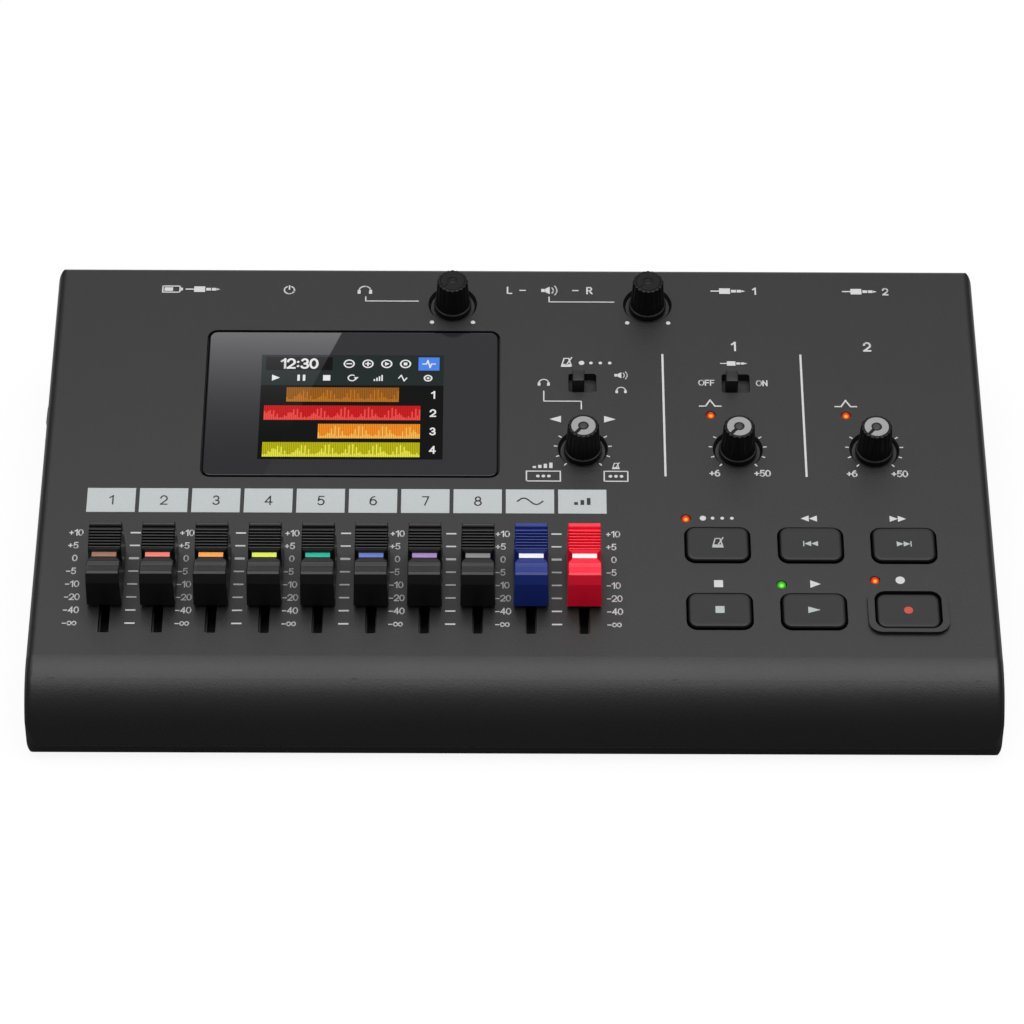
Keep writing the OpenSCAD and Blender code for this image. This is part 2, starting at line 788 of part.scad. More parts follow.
module switch_bodies() {
    groove_w = tab_w + tab_travel + 0.6;
    color([0.08, 0.08, 0.08])
    {
        for (i = [0:5])
            on_panel(key_u(i), key_v(i), -board_deep) {
                pad(6, 6, 0.3, 0, 3.4);
                cylinder(r = 1.7, h = board_deep + stem_n - key_travel - 0.1);
            }
        for (p = switch_at)
            on_panel(p[0], p[1], -board_deep)
                difference() {
                    pad(10, 8, 0.3, 0, board_deep + cover_n - cover_t - cover_gap);
                    pad(groove_w, tab_h + 0.6, 0.3, 2, board_deep);
                }
        difference() {
            box(
                [power_x - 5.5, rear_y - rear_t - 6.3, jack_z],
                [power_x + 5.5, rear_y - rear_t - 0.3, jack_z + 6]
            );
            box(
                [
                    power_x - power_tab_w / 2 - power_travel / 2 - 0.3,
                    rear_y - rear_t - 4.5,
                    power_z - power_tab_h / 2 - 0.3
                ],
                [
                    power_x + power_tab_w / 2 + power_travel / 2 + 0.3,
                    rear_y,
                    power_z + power_tab_h / 2 + 0.3
                ]
            );
        }
    }
}

module status_lamps() {
    r = lamp_d / 2;
    color([0.9, 0.3, 0.1])
    for (p = lamp_at)
        on_panel(p[0], p[1]) {
            translate([0, 0, -board_deep]) cylinder(r = r, h = board_deep + lamp_proud - r);
            translate([0, 0, lamp_proud - r]) sphere(r);
            translate([0, 0, -board_deep]) cylinder(r = r + 0.4, h = 2);
        }
}

module combo_jacks() {
    floor_y = face_y - socket_deep;
    hole_y = combo_front + 2;
    color([0.06, 0.06, 0.065])
    for (x = combo_x) {
        difference() {
            union() {
                box(
                    [x - combo_w / 2, combo_front, jack_z],
                    [x + combo_w / 2, combo_front + combo_d, jack_z + combo_h]
                );
                rod_y(x, combo_z, face_d / 2, combo_front + 1, face_y);
            }
            rod_y(x, combo_z, socket_d / 2, floor_y, face_y + 1);
            rod_y(x, combo_z, core_hole_d / 2, hole_y, face_y);
        }
        difference() {
            rod_y(x, combo_z, core_d / 2, floor_y, face_y - 0.5);
            rod_y(x, combo_z, core_hole_d / 2, floor_y - 1, face_y + 1);
            for (a = [30, 150, 270])
                rod_y(x + 5.3 * cos(a), combo_z + 5.3 * sin(a), 1.25, floor_y + 2, face_y + 1);
        }
    }
}

module phone_jacks() {
    body_y = rear_y - rear_t - 0.1;
    color([0.12, 0.12, 0.125])
    for (x = phone_x) {
        difference() {
            union() {
                box(
                    [x - phone_body / 2, body_y - phone_l, jack_z],
                    [x + phone_body / 2, body_y, jack_z + phone_body]
                );
                rod_y(x, phone_z, barrel_d / 2, body_y - 1, rear_y + jack_proud);
            }
            rod_y(x, phone_z, plug_d / 2, body_y - phone_l + 2, rear_y + jack_proud + 1);
        }
        difference() {
            translate([x, rear_y + nut_t, phone_z])
                rotate([90, 0, 0])
                cylinder(d = nut_af / cos(30), h = nut_t, $fn = 6);
            rod_y(x, phone_z, barrel_d / 2 + e, rear_y - 1, rear_y + nut_t + 1);
        }
    }
}

module usb_socket() {
    y0 = rear_y - 8.4;
    color([0.7, 0.7, 0.72])
    {
        difference() {
            box([usb_x - usb_w / 2, y0, jack_z], [usb_x + usb_w / 2, rear_y - 0.4, jack_z + usb_h]);
            box(
                [usb_x - usb_w / 2 + 0.4, y0 + 1, jack_z + 0.4],
                [usb_x + usb_w / 2 - 0.4, rear_y + 1, jack_z + usb_h - 0.4]
            );
        }
        box([usb_x - 3.4, y0 + 0.5, jack_z + 1.3], [usb_x + 3.4, rear_y - 1.6, jack_z + 2]);
    }
}

module card_socket() {
    color([0.72, 0.72, 0.74])
    on_panel(left_x + wall_t + 1.2, card_rear, -board_deep)
        difference() {
            translate([0, -7, 0]) cube([15, 14, 2]);
            translate([-1, -5.7, 0.5]) cube([14, 11.4, 1]);
        }
}

module rubber_feet() {
    color([0.05, 0.05, 0.05])
    for (p = foot_at)
        translate([p[0], p[1], 0]) {
            cylinder(r1 = foot_d / 2 - 0.4, r2 = foot_d / 2, h = 0.5);
            translate([0, 0, 0.4]) cylinder(r = foot_d / 2, h = foot_h + foot_pocket - 0.4);
        }
}

// Screw with its head down, the shank rising from the head
module screw(r_head, t_head, r_shank, l_shank) {
    difference() {
        union() {
            cylinder(r = r_head, h = t_head);
            cylinder(r = r_shank, h = t_head + l_shank);
        }
        translate([0, 0, -1]) cylinder(r = r_head * 0.4, h = 1 + t_head * 0.6, $fn = 6);
    }
}

module screws() {
    color([0.6, 0.6, 0.62])
    {
        for (p = case_screw_at)
            translate([p[0], p[1], bottom_z + head_deep - head_t])
                screw(head_r, head_t, shank_r, 9);
        for (p = post_at)
            on_panel(p[0], p[1], -board_deep - board_t - 1.2) screw(1.8, 1.2, 0.9, board_t + 4.5);
        for (p = stand_at)
            translate([p[0], p[1], jack_z + 1.2])
                rotate([180, 0, 0])
                screw(1.8, 1.2, 0.9, jack_z - floor_z - 0.5);
    }
}

module battery_cells() {
    color([0.2, 0.22, 0.25])
    for (i = [0, 1], j = [0, 1])
        translate([
            -bay_l / 2 + contact_t + cell_gap + i * (cell_l + cell_gap),
            bay_y0 + cell_gap + cell_d / 2 + j * (cell_d + cell_gap),
            bay_z0 + cell_gap + cell_d / 2
        ])
            translate([j == 0 ? 0 : cell_l, 0, 0])
            rotate([0, j == 0 ? 90 : -90, 0]) {
                cylinder(d = cell_d, h = cell_l - 1);
                cylinder(r = 2.7, h = cell_l);
            }
}

module battery_contacts() {
    color([0.75, 0.75, 0.77])
    for (i = [-1, 1], j = [0, 1])
        translate([
            i * (bay_l - contact_t) / 2,
            bay_y0 + cell_gap + cell_d / 2 + j * (cell_d + cell_gap),
            bay_z0 + cell_gap + cell_d / 2
        ])
            cube([contact_t, contact_w, contact_w], center = true);
}

// Side view of a fader cap about its middle
module cap_profile() {
    h = cap_l / 2;
    polygon([
        [-h, cap_gap],
        [h, cap_gap],
        [h - 0.8, cap_top],
        [2.3, cap_top - cap_dip / 2],
        [0, cap_top - cap_dip],
        [-2.3, cap_top - cap_dip / 2],
        [-h + 0.6, cap_top]
    ]);
}

module fader_cap(i) {
    right = fader_count - 1 - i;
    color(right == 0 ? [0.85, 0.2, 0.22] : right == 1 ? [0.14, 0.2, 0.5] : [0.06, 0.06, 0.065])
    on_panel(fader_u(i), fader_v + fader_rest)
        difference() {
            intersection() {
                rotate([90, 0, 90]) linear_extrude(cap_w, center = true) cap_profile();
                rotate([90, 0, 0])
                    linear_extrude(cap_l, center = true)
                    polygon([
                        [-cap_w / 2, 0],
                        [cap_w / 2, 0],
                        [cap_top_w / 2, cap_top + e],
                        [-cap_top_w / 2, cap_top + e]
                    ]);
            }
            translate([-lever_t / 2 - lever_gap, -lever_l / 2 - lever_gap, 0])
                cube([lever_t + 2 * lever_gap, lever_l + 2 * lever_gap, lever_top + lever_gap]);
        }
}

module fader_lever(i) {
    color([0.7, 0.71, 0.72])
    on_panel(fader_u(i), fader_v + fader_rest) {
        translate([-lever_t / 2, -lever_l / 2, -board_deep + 1.2])
            cube([lever_t, lever_l, board_deep - 1.2 + lever_top]);
        translate([-2.8, -3.2, -board_deep + 0.9]) cube([5.6, 6.4, 3.4]);
    }
}

module knob(i) {
    foot = -dish_deep + 0.4;
    color([0.06, 0.06, 0.065])
    on_panel(knob_at[i][0], knob_at[i][1])
        difference() {
            union() {
                translate([0, 0, foot]) cylinder(d = knob_d, h = knob_top - foot);
                translate([0, 0, foot]) cylinder(d = skirt_d, h = 1.4);
            }
            translate([0, 0, foot - 1]) cylinder(r = shaft_d / 2 + knob_gap, h = knob_top - foot - 1);
        }
}

module shaft(i) {
    low = -board_deep + 1.1;
    color([0.72, 0.72, 0.74])
    on_panel(knob_at[i][0], knob_at[i][1], low) cylinder(d = shaft_d, h = knob_top - 2.2 - low);
}

module key(i) {
    color([0.2, 0.2, 0.21])
    on_panel(key_u(i), key_v(i)) {
        pad(key_w, key_h, key_r, flange_n - flange_t, key_proud);
        pad(key_w + 2, key_h + 2, key_r + 1, flange_n - flange_t, flange_n);
        translate([0, 0, stem_n]) cylinder(r = 1.9, h = flange_n - stem_n);
    }
}

module panel_switch_lever(i) {
    color([0.5, 0.5, 0.51])
    on_panel(switch_at[i][0] - tab_travel / 2, switch_at[i][1]) {
        pad(tab_w, tab_h, 0.3, -board_deep + 2.2, tab_top);
        pad(
            switch_w + tab_travel + 2 * cover_lap, switch_h + 2 * cover_lap, 0.5,
            cover_n - cover_t, cover_n
        );
    }
}

module power_switch_lever() {
    x = power_x - power_travel / 2;
    color([0.06, 0.06, 0.065])
    box(
        [x - power_tab_w / 2, rear_y - rear_t - 4.2, power_z - power_tab_h / 2],
        [x + power_tab_w / 2, rear_y + 2, power_z + power_tab_h / 2]
    );
}

module card_door() {
    y0 = card_y - card_l / 2;
    y1 = card_y + card_l / 2;
    top = card_z + card_h / 2;
    color([0.1, 0.1, 0.105])
    {
        box([left_x, y0, card_axis_z], [left_x + card_t, y1, top]);
        rod_y(card_axis_x, card_axis_z, 1, y0, y1);
        rod_y(card_axis_x, card_axis_z, pin_r, y0 - 1.4, y1 + 1.4);
        box(
            [left_x - lip_proud, card_y - lip_l / 2, top - 1.6],
            [left_x + 1, card_y + lip_l / 2, top]
        );
    }
}

module battery_door() {
    color([0.1, 0.1, 0.11])
    difference() {
        box(
            [-bay_l / 2 + door_gap, bay_y0 + door_gap, bottom_z],
            [bay_l / 2 - door_gap, bay_y1 - door_gap, bay_z0]
        );
        translate([0, bay_y0 + 3, bottom_z - 1]) cylinder(d = grip_d, h = 1.7);
    }
}

top_case();
bottom_case();
rear_panel();
display_window();
display_module();
main_board();
jack_board();
fader_bodies();
pot_bodies();
switch_bodies();
status_lamps();
combo_jacks();
phone_jacks();
usb_socket();
card_socket();
rubber_feet();
screws();
battery_cells();
battery_contacts();
for (i = [0:fader_count - 1]) {
    fader_cap(i);
    fader_lever(i);
}
for (i = [0:4]) {
    knob(i);
    shaft(i);
}
for (i = [0:5])
    key(i);
panel_switch_lever(0);  // click_switch_lever
panel_switch_lever(1);  // input_switch_lever
power_switch_lever();
card_door();
battery_door();
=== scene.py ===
import math

import bmesh
import bpy
from mathutils import Matrix, Vector


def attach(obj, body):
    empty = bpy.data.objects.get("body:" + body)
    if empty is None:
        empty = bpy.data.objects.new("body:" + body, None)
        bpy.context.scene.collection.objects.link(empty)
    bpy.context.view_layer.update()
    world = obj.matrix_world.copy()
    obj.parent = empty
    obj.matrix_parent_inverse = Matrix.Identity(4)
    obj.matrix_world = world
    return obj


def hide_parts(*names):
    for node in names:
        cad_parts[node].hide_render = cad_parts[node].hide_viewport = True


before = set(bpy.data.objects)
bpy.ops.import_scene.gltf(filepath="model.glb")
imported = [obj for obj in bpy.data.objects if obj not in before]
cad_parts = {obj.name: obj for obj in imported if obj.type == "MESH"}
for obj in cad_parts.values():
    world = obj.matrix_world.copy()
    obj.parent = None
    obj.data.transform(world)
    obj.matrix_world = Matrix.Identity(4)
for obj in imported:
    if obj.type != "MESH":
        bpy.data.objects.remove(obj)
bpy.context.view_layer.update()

# Bottom case: the shallow tray under the seam, moulded in black plastic with a fine matt texture.
# It carries the feet, the battery bay and the jack board, and six screws hold it to the top case.


class Wire:
    """One shader value. Sums of wires and numbers become Math nodes."""

    def __init__(self, tree, socket):
        self.tree = tree
        self.socket = socket

    def plug(self, target, value):
        """Sets a socket to a number, a colour or another wire."""
        if isinstance(value, Wire):
            self.tree.links.new(value.socket, target)
        elif isinstance(value, tuple) and len(value) == 3 and target.type == "RGBA":
            target.default_value = value + (1.0,)
        else:
            target.default_value = value

    def node(self, kind, settings, inputs, out=0):
        """Adds a node: its settings first, then its sockets, and gives the wire of one output."""
        made = self.tree.nodes.new(kind)
        for key, value in settings.items():
            if key == "stops":
                ramp = made.color_ramp.elements
                while len(ramp) < len(value):
                    ramp.new(0.5)
                for stop, (where, colour) in zip(ramp, value):
                    stop.position = where
                    stop.color = colour + (1.0,)
            else:
                setattr(made, key, value)
        for key, value in inputs.items():
            self.plug(made.inputs[key], value)
        return Wire(self.tree, made.outputs[out])

    def sum(self, operation, a, b):
        return self.node("ShaderNodeMath", {"operation": operation}, {0: a, 1: b})

    def __add__(self, other):
        return self.sum("ADD", self, other)

    __radd__ = __add__

    def __sub__(self, other):
        return self.sum("SUBTRACT", self, other)

    def __rsub__(self, other):
        return self.sum("SUBTRACT", other, self)

    def __mul__(self, other):
        return self.sum("MULTIPLY", self, other)

    __rmul__ = __mul__

    def __gt__(self, other):
        return self.sum("GREATER_THAN", self, other)

    def __lt__(self, other):
        return self.sum("LESS_THAN", self, other)


def blank_finish(name):
    """A new material, its surface shader and the wire of places on the object, in metres."""
    finish = bpy.data.materials.new(name)
    finish.use_nodes = True
    tree = finish.node_tree
    place = Wire(tree, None).node("ShaderNodeTexCoord", {}, {}, "Object")
    return finish, tree.nodes["Principled BSDF"], place


def noise(place, size, detail=3.0):
    """Soft random grain with blobs of about this size, from 0 to 1."""
    return place.node("ShaderNodeTexNoise", {}, {"Vector": place, "Scale": 1 / size, "Detail": detail}, "Fac")


def mix_colour(mask, a, b):
    return mask.node("ShaderNodeMix", {"data_type": "RGBA"}, {0: mask, 6: a, 7: b}, 2)


def shade(colour, k):
    return tuple(min(c * k, 1.0) for c in colour)


def feed(shader, place, values):
    """Sets sockets of a shader to numbers, colours or wires."""
    for socket, value in values.items():
        place.plug(shader.inputs[socket], value)


def raise_face(shader, height, strength, distance, **more):
    """Feeds a bump to a shader: a height wire, its strength and its full height in metres."""
    sockets = {"Strength": strength, "Distance": distance, "Height": height, **more}
    height.plug(shader.inputs["Normal"], height.node("ShaderNodeBump", {}, sockets))


def moulded(name, colour, roughness, relief=0.25, edge=0.00025, coat=0.0, grain=0.0003, gloss=0.3):
    """Moulded plastic: faint cloudy colour, spark-eroded grain and softly rounded edges."""
    finish, shader, place = blank_finish(name)
    cloud = noise(place, 0.02)
    spark = noise(place, grain)
    tint = mix_colour(cloud * 0.6 + spark * 0.4, shade(colour, 0.88), shade(colour, 1.12))
    satin = spark * 0.12 + cloud * 0.06 + (roughness - 0.09)
    feed(shader, place, {"Base Color": tint, "Roughness": satin, "Specular IOR Level": gloss})
    feed(shader, place, {"Coat Weight": coat, "Coat Roughness": 0.12})
    soft = place.node("ShaderNodeBevel", {"samples": 4}, {"Radius": edge})
    raise_face(shader, spark, relief, 0.00004, Normal=soft)
    return finish


def dress(node, finish):
    """Gives a CAD node its finish."""
    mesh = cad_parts[node].data
    mesh.materials.clear()
    mesh.materials.append(finish)


case_black = moulded("case_black", (0.007, 0.0066, 0.0066), 0.46, gloss=0.5)
dress("bottom_case", case_black)

# Rubber feet: four soft black discs pressed into pockets of the bottom case.
# Plain matt rubber with a dusty bloom.
foot_rubber, shader, place = blank_finish("foot_rubber")
bloom = noise(place, 0.0015, 4.0)
dusty = mix_colour(bloom, (0.008, 0.008, 0.008), (0.022, 0.022, 0.021))
feed(shader, place, {"Base Color": dusty, "Roughness": bloom * 0.2 + 0.7})
raise_face(shader, bloom, 0.2, 0.00005)
dress("rubber_feet", foot_rubber)


# Screws: black-plated steel, six in the underside and the small ones that hold the two boards.
# The plating is finely grained and has worn a little.
def plated(name, colour, roughness, streak=(1.0, 1.0, 1.0)):
    """Plated or drawn metal with fine streaks. streak stretches the grain along each axis."""
    finish, shader, place = blank_finish(name)
    along = place.node("ShaderNodeVectorMath", {"operation": "MULTIPLY"}, {0: place, 1: streak})
    grain = noise(along, 0.0004)
    wear = noise(place, 0.006)
    tint = mix_colour(wear, shade(colour, 0.85), shade(colour, 1.1))
    satin = grain * 0.16 + wear * 0.08 + (roughness - 0.12)
    feed(shader, place, {"Base Color": tint, "Roughness": satin, "Metallic": 1.0})
    raise_face(shader, grain, 0.12, 0.00002)
    return finish


dress("screws", plated("screw_black_steel", (0.16, 0.16, 0.17), 0.38))

# Battery cells, contacts and door: four round cells lie two by two above a flush door.
# The cells have a printed film with bare steel ends, the contacts are nickel, the door is case plastic.
cell_film, shader, place = blank_finish("cell_film")
band_start, band_end, middle_gap = 0.0385, 0.0487, 0.0014
along = place.node("ShaderNodeSeparateXYZ", {}, {"Vector": place}, "X")
end = place.sum("ABSOLUTE", along, 0.0)
copper = (end > band_start) * (end < band_end)
bare = (end > band_end) + (end < middle_gap)
scuff = noise(place, 0.003, 4.0)
film = mix_colour(copper, (0.018, 0.02, 0.024), (0.45, 0.2, 0.08))
feed(shader, place, {"Base Color": mix_colour(bare, film, (0.6, 0.6, 0.62))})
feed(shader, place, {"Metallic": bare * 0.9 + copper * 0.6, "Roughness": scuff * 0.15 + 0.22})
dress("battery_cells", cell_film)
contact_nickel = plated("contact_nickel", (0.62, 0.61, 0.58), 0.3)
dress("battery_contacts", contact_nickel)
dress("battery_door", moulded("battery_door_black", (0.0105, 0.0098, 0.0098), 0.5))

# Main board and jack board: green glass-fibre boards under the panel and along the rear.
# Solder mask over copper tracks, which show as a fine raised grid.
solder_mask, shader, place = blank_finish("solder_mask")
grid = {"Vector": place, "Scale": 90.0, "Mortar Size": 0.03}
grid.update({"Color1": (0, 0, 0), "Color2": (0, 0, 0), "Mortar": (1, 1, 1)})
tracks = place.node("ShaderNodeTexBrick", {"offset": 0.5}, grid, "Fac")
cloud = noise(place, 0.01)
green = mix_colour(tracks * 0.7 + cloud * 0.3, (0.008, 0.05, 0.022), (0.03, 0.14, 0.06))
feed(shader, place, {"Base Color": green, "Roughness": cloud * 0.15 + 0.25})
raise_face(shader, tracks, 0.3, 0.00003)
dress("main_board", solder_mask)
dress("jack_board", solder_mask)

# Fader tracks, pots and switch bodies: the hidden parts that the levers and shafts run in.
# Folded plated steel for the tracks and pots, black moulded plastic for the switches.
dress("fader_bodies", plated("track_steel", (0.12, 0.12, 0.125), 0.42, (1.0, 0.1, 1.0)))
dress("pot_bodies", plated("pot_steel", (0.45, 0.45, 0.46), 0.35))
dress("switch_bodies", moulded("switch_body_black", (0.008, 0.008, 0.008), 0.45))
lever_steel = plated("lever_steel", (0.07, 0.07, 0.075), 0.4, (1.0, 1.0, 0.1))
fader_count = 10
for i in range(1, fader_count + 1):
    dress(f"fader_lever_{i}", lever_steel)
shaft_steel = plated("shaft_steel", (0.5, 0.5, 0.51), 0.3)
for control in ("phones", "output", "balance", "gain_1", "gain_2"):
    dress(f"{control}_shaft", shaft_steel)

# Rear panel: a flat black plastic plate between the side walls, held by the jack nuts.
# Small printed marks stand beside the connectors.
dress("rear_panel", moulded("rear_panel_black", (0.0125, 0.0125, 0.013), 0.5, gloss=0.45))
mm = 0.001
rear_y = 74.5
rear_face = Matrix(((-1, 0, 0, 0), (0, 0, 1, rear_y * mm), (0, 1, 0, 0), (0, 0, 0, 1)))
rear_marks = [[], []]
sheet_step = 0.00004


def on_print(x, y):
    """A point of a printed sheet, just above the face it lies on, in millimetres."""
    return (x, y, 0.03)


def add_shapes(sheet, outlines, seat=on_print):
    """Adds flat outlines, given counter-clockwise, to a printed sheet, each a hair above the last."""
    for outline in outlines:
        start = len(sheet[0])
        lift = Vector((0, 0, sheet_step * len(sheet[1])))
        sheet[0].extend(Vector(seat(x, y)) + lift for x, y in outline)
        sheet[1].append(tuple(range(start, start + len(outline))))


def bar(x0, y0, x1, y1):
    return [(x0, y0), (x1, y0), (x1, y1), (x0, y1)]


def stroke(points, width):
    """Outlines of a line of this width through the points, one four-sided piece a leg."""
    legs = []
    for (ax, ay), (bx, by) in zip(points, points[1:]):
        length = math.hypot(bx - ax, by - ay)
        dx, dy = (bx - ax) / length * width / 2, (by - ay) / length * width / 2
        right = [(ax - dx + dy, ay - dy - dx), (bx + dx + dy, by + dy - dx)]
        left = [(bx + dx - dy, by + dy + dx), (ax - dx - dy, ay - dy + dx)]
        legs.append(right + left)
    return legs


def arc(x, y, r, start, end, steps=20, tall=1.0):
    """Points on an arc, in degrees counter-clockwise from the right. tall stretches it upwards."""
    turn = [math.radians(start + (end - start) * i / steps) for i in range(steps + 1)]
    return [(x + r * math.cos(a), y + r * tall * math.sin(a)) for a in turn]


def endless(x, y, w, h):
    """Points of a lying figure of eight about a middle, w to each side."""
    turn = arc(0, 0, 1, 0, 360, 28)
    return [(x + w * c / (1 + s * s), y + h * s * c / (1 + s * s)) for c, s in turn]


# Plain numbers and letters as pen lines in a box one unit high, each with its width
letter_bowl = arc(0.4, 0.75, 0.25, 90, -90, 10) + [(0.06, 0.5)]
glyphs = {
    "0": (0.66, [arc(0.33, 0.5, 0.33, 0, 360, 20, 1.5)]),
    "1": (0.42, [[(0.04, 0.76), (0.36, 1.0), (0.36, 0.0)]]),
    "2": (0.66, [arc(0.33, 0.68, 0.32, 170, -35, 12) + [(0.02, 0.0), (0.66, 0.0)]]),
    "3": (0.66, [arc(0.31, 0.74, 0.26, 155, -90, 12) + arc(0.31, 0.25, 0.31, 90, -160, 14, 0.8)]),
    "4": (0.70, [[(0.52, 0.0), (0.52, 1.0), (0.02, 0.3), (0.7, 0.3)]]),
    "5": (0.66, [[(0.6, 1.0), (0.14, 1.0), (0.07, 0.5)] + arc(0.32, 0.32, 0.32, 130, -145, 16)]),
    "6": (0.66, [arc(0.33, 0.32, 0.31, 0, 360, 20), arc(0.42, 0.42, 0.4, 85, 190, 10, 1.4)]),
    "7": (0.64, [[(0.02, 1.0), (0.62, 1.0), (0.24, 0.0)]]),
    "8": (0.66, [arc(0.33, 0.76, 0.25, 0, 360, 18, 0.95), arc(0.33, 0.27, 0.32, 0, 360, 20, 0.85)]),
    "+": (0.60, [[(0.04, 0.46), (0.56, 0.46)], [(0.3, 0.2), (0.3, 0.72)]]),
    "-": (0.56, [[(0.02, 0.44), (0.5, 0.44)]]),
    "~": (1.3, [endless(0.66, 0.46, 0.66, 0.9)]),
    ":": (0.26, [[(0.12, 0.2), (0.14, 0.22)], [(0.12, 0.68), (0.14, 0.7)]]),
    "O": (0.86, [arc(0.43, 0.5, 0.43, 0, 360, 22, 1.16)]),
    "F": (0.66, [[(0.06, 0.0), (0.06, 1.0), (0.64, 1.0)], [(0.06, 0.5), (0.56, 0.5)]]),
    "N": (0.78, [[(0.06, 0.0), (0.06, 1.0), (0.72, 0.0), (0.72, 1.0)]]),
    "L": (0.62, [[(0.06, 1.0), (0.06, 0.0), (0.6, 0.0)]]),
    "R": (0.74, [[(0.06, 0.0), (0.06, 1.0), (0.36, 1.0)] + letter_bowl, [(0.36, 0.5), (0.7, 0.0)]]),
}


def lettering(sheet, words, x, y, height, seat=on_print, weight=0.19, left=False):
    """Adds plain numbers or letters to a printed sheet, centred on x and y, or starting at x."""
    spacing = 0.2
    across = height * 0.9
    if not left:
        x -= across * (sum(glyphs[c][0] for c in words) + spacing * (len(words) - 1)) / 2
    for c in words:
        width, lines = glyphs[c]
        for line in lines:
            drawn = [(x + px * across, y + (py - 0.5) * height) for px, py in line]
            add_shapes(sheet, stroke(drawn, weight * height), seat)
        x += across * (width + spacing)


def new_object(name, data):
    """Adds an object to the scene."""
    made = bpy.data.objects.new(name, data)
    bpy.context.scene.collection.objects.link(made)
    return made


def make_piece(name, points, faces, finish, body, seat, smooth=35.0, mend=True):
    """A mesh piece from points in millimetres, put in its seat and riding on a body."""
    mesh = bpy.data.meshes.new(name)
    mesh.from_pydata([seat @ (Vector(p) * mm) for p in points], [], faces)
    if mend:
        whole = bmesh.new()
        whole.from_mesh(mesh)
        bmesh.ops.recalc_face_normals(whole, faces=whole.faces)
        whole.to_mesh(mesh)
        whole.free()
    mesh.materials.append(finish)
    if smooth:
        mesh.shade_smooth()
        mesh.set_sharp_from_angle(angle=math.radians(smooth))
    piece = new_object(name, mesh)
    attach(piece, body)
    return piece


def printed(name, sheet, finish, body, seat):
    """A printed sheet as a flat piece."""
    return make_piece(name, sheet[0], sheet[1], finish, body, seat, mend=False, smooth=0)


def ink(name, colour, roughness=0.55):
    """Screen-printed ink: slightly uneven cover with a soft satin face."""
    finish, shader, place = blank_finish(name)
    cover = noise(place, 0.0005)
    tint = mix_colour(cover, shade(colour, 0.9), shade(colour, 1.06))
    feed(shader, place, {"Base Color": tint, "Roughness": cover * 0.12 + (roughness - 0.06)})
    return finish


def power_mark(x, y, r, width):
    stem = bar(x - width / 2, y + r * 0.1, x + width / 2, y + r * 1.25)
    return stroke(arc(x, y, r, 120, 420, 18), width) + [stem]


def headphones_mark(x, y, r, width):
    low, high = y - r * 0.75, y + r * 0.1
    ears = [bar(ear - width, low, ear + width, high) for ear in (x - r, x + r)]
    return stroke(arc(x, y, r, 0, 180, 14), width) + ears


add_shapes(rear_marks, power_mark(63.0, 19.2, 1.5, 0.35))
add_shapes(rear_marks, headphones_mark(41.9, 24.2, 1.7, 0.4))
for words, x, y in (("L", 1.65, 24.4), ("R", -20.8, 24.4), ("1", -45.0, 31.0), ("2", -81.5, 31.0)):
    lettering(rear_marks, words, x, y, 2.2)
printed("rear_marks", rear_marks, ink("print_grey", (0.52, 0.53, 0.53)), "case", rear_face)


# Input jacks: two black combination sockets behind round openings, each with a core for a phone plug.
# Glass-filled black plastic, with gilt contacts in the three pin holes and a push latch above.
def loft(loops, close=True):
    """Joins rings of points into a skin and closes both ends."""
    n = len(loops[0])
    points = [p for loop in loops for p in loop]
    faces = [
        (i * n + j, i * n + (j + 1) % n, (i + 1) * n + (j + 1) % n, (i + 1) * n + j)
        for i in range(len(loops) - 1)
        for j in range(n)
    ]
    if close:
        faces += [tuple(range(n))[::-1], tuple(range((len(loops) - 1) * n, len(loops) * n))]
    return points, faces


def lathe(profile, steps=48, close=True):
    """Turns (radius, height) pairs about the Z axis. Open rings give their first pair again at the end."""
    turn = [2 * math.pi * i / steps for i in range(steps)]
    return loft([[(r * math.cos(a), r * math.sin(a), z) for a in turn] for r, z in profile], close)


def rounded(w, h, r, steps=8):
    """Corner points of a rounded rectangle about the origin, counter-clockwise."""
    x, y = w / 2 - r, h / 2 - r
    points = []
    for corner, (side, end) in enumerate(((1, 1), (-1, 1), (-1, -1), (1, -1))):
        points += arc(side * x, end * y, r, 90 * corner, 90 * corner + 90, steps)
    return points


def slab(w, h, r, levels, steps=8, close=True):
    """A rounded block. levels are (inset, height) pairs from its foot to its top."""
    loops = []
    for d, z in levels:
        loops.append([(x, y, z) for x, y in rounded(w - 2 * d, h - 2 * d, max(r - d, 0.05), steps)])
    return loft(loops, close)


def facing_rear(x, y, z):
    """Seat on the rear: the piece's Z points out of the rear panel."""
    return Matrix.Translation((x * mm, y * mm, z * mm)) @ Matrix.Rotation(math.radians(-90), 4, "X")


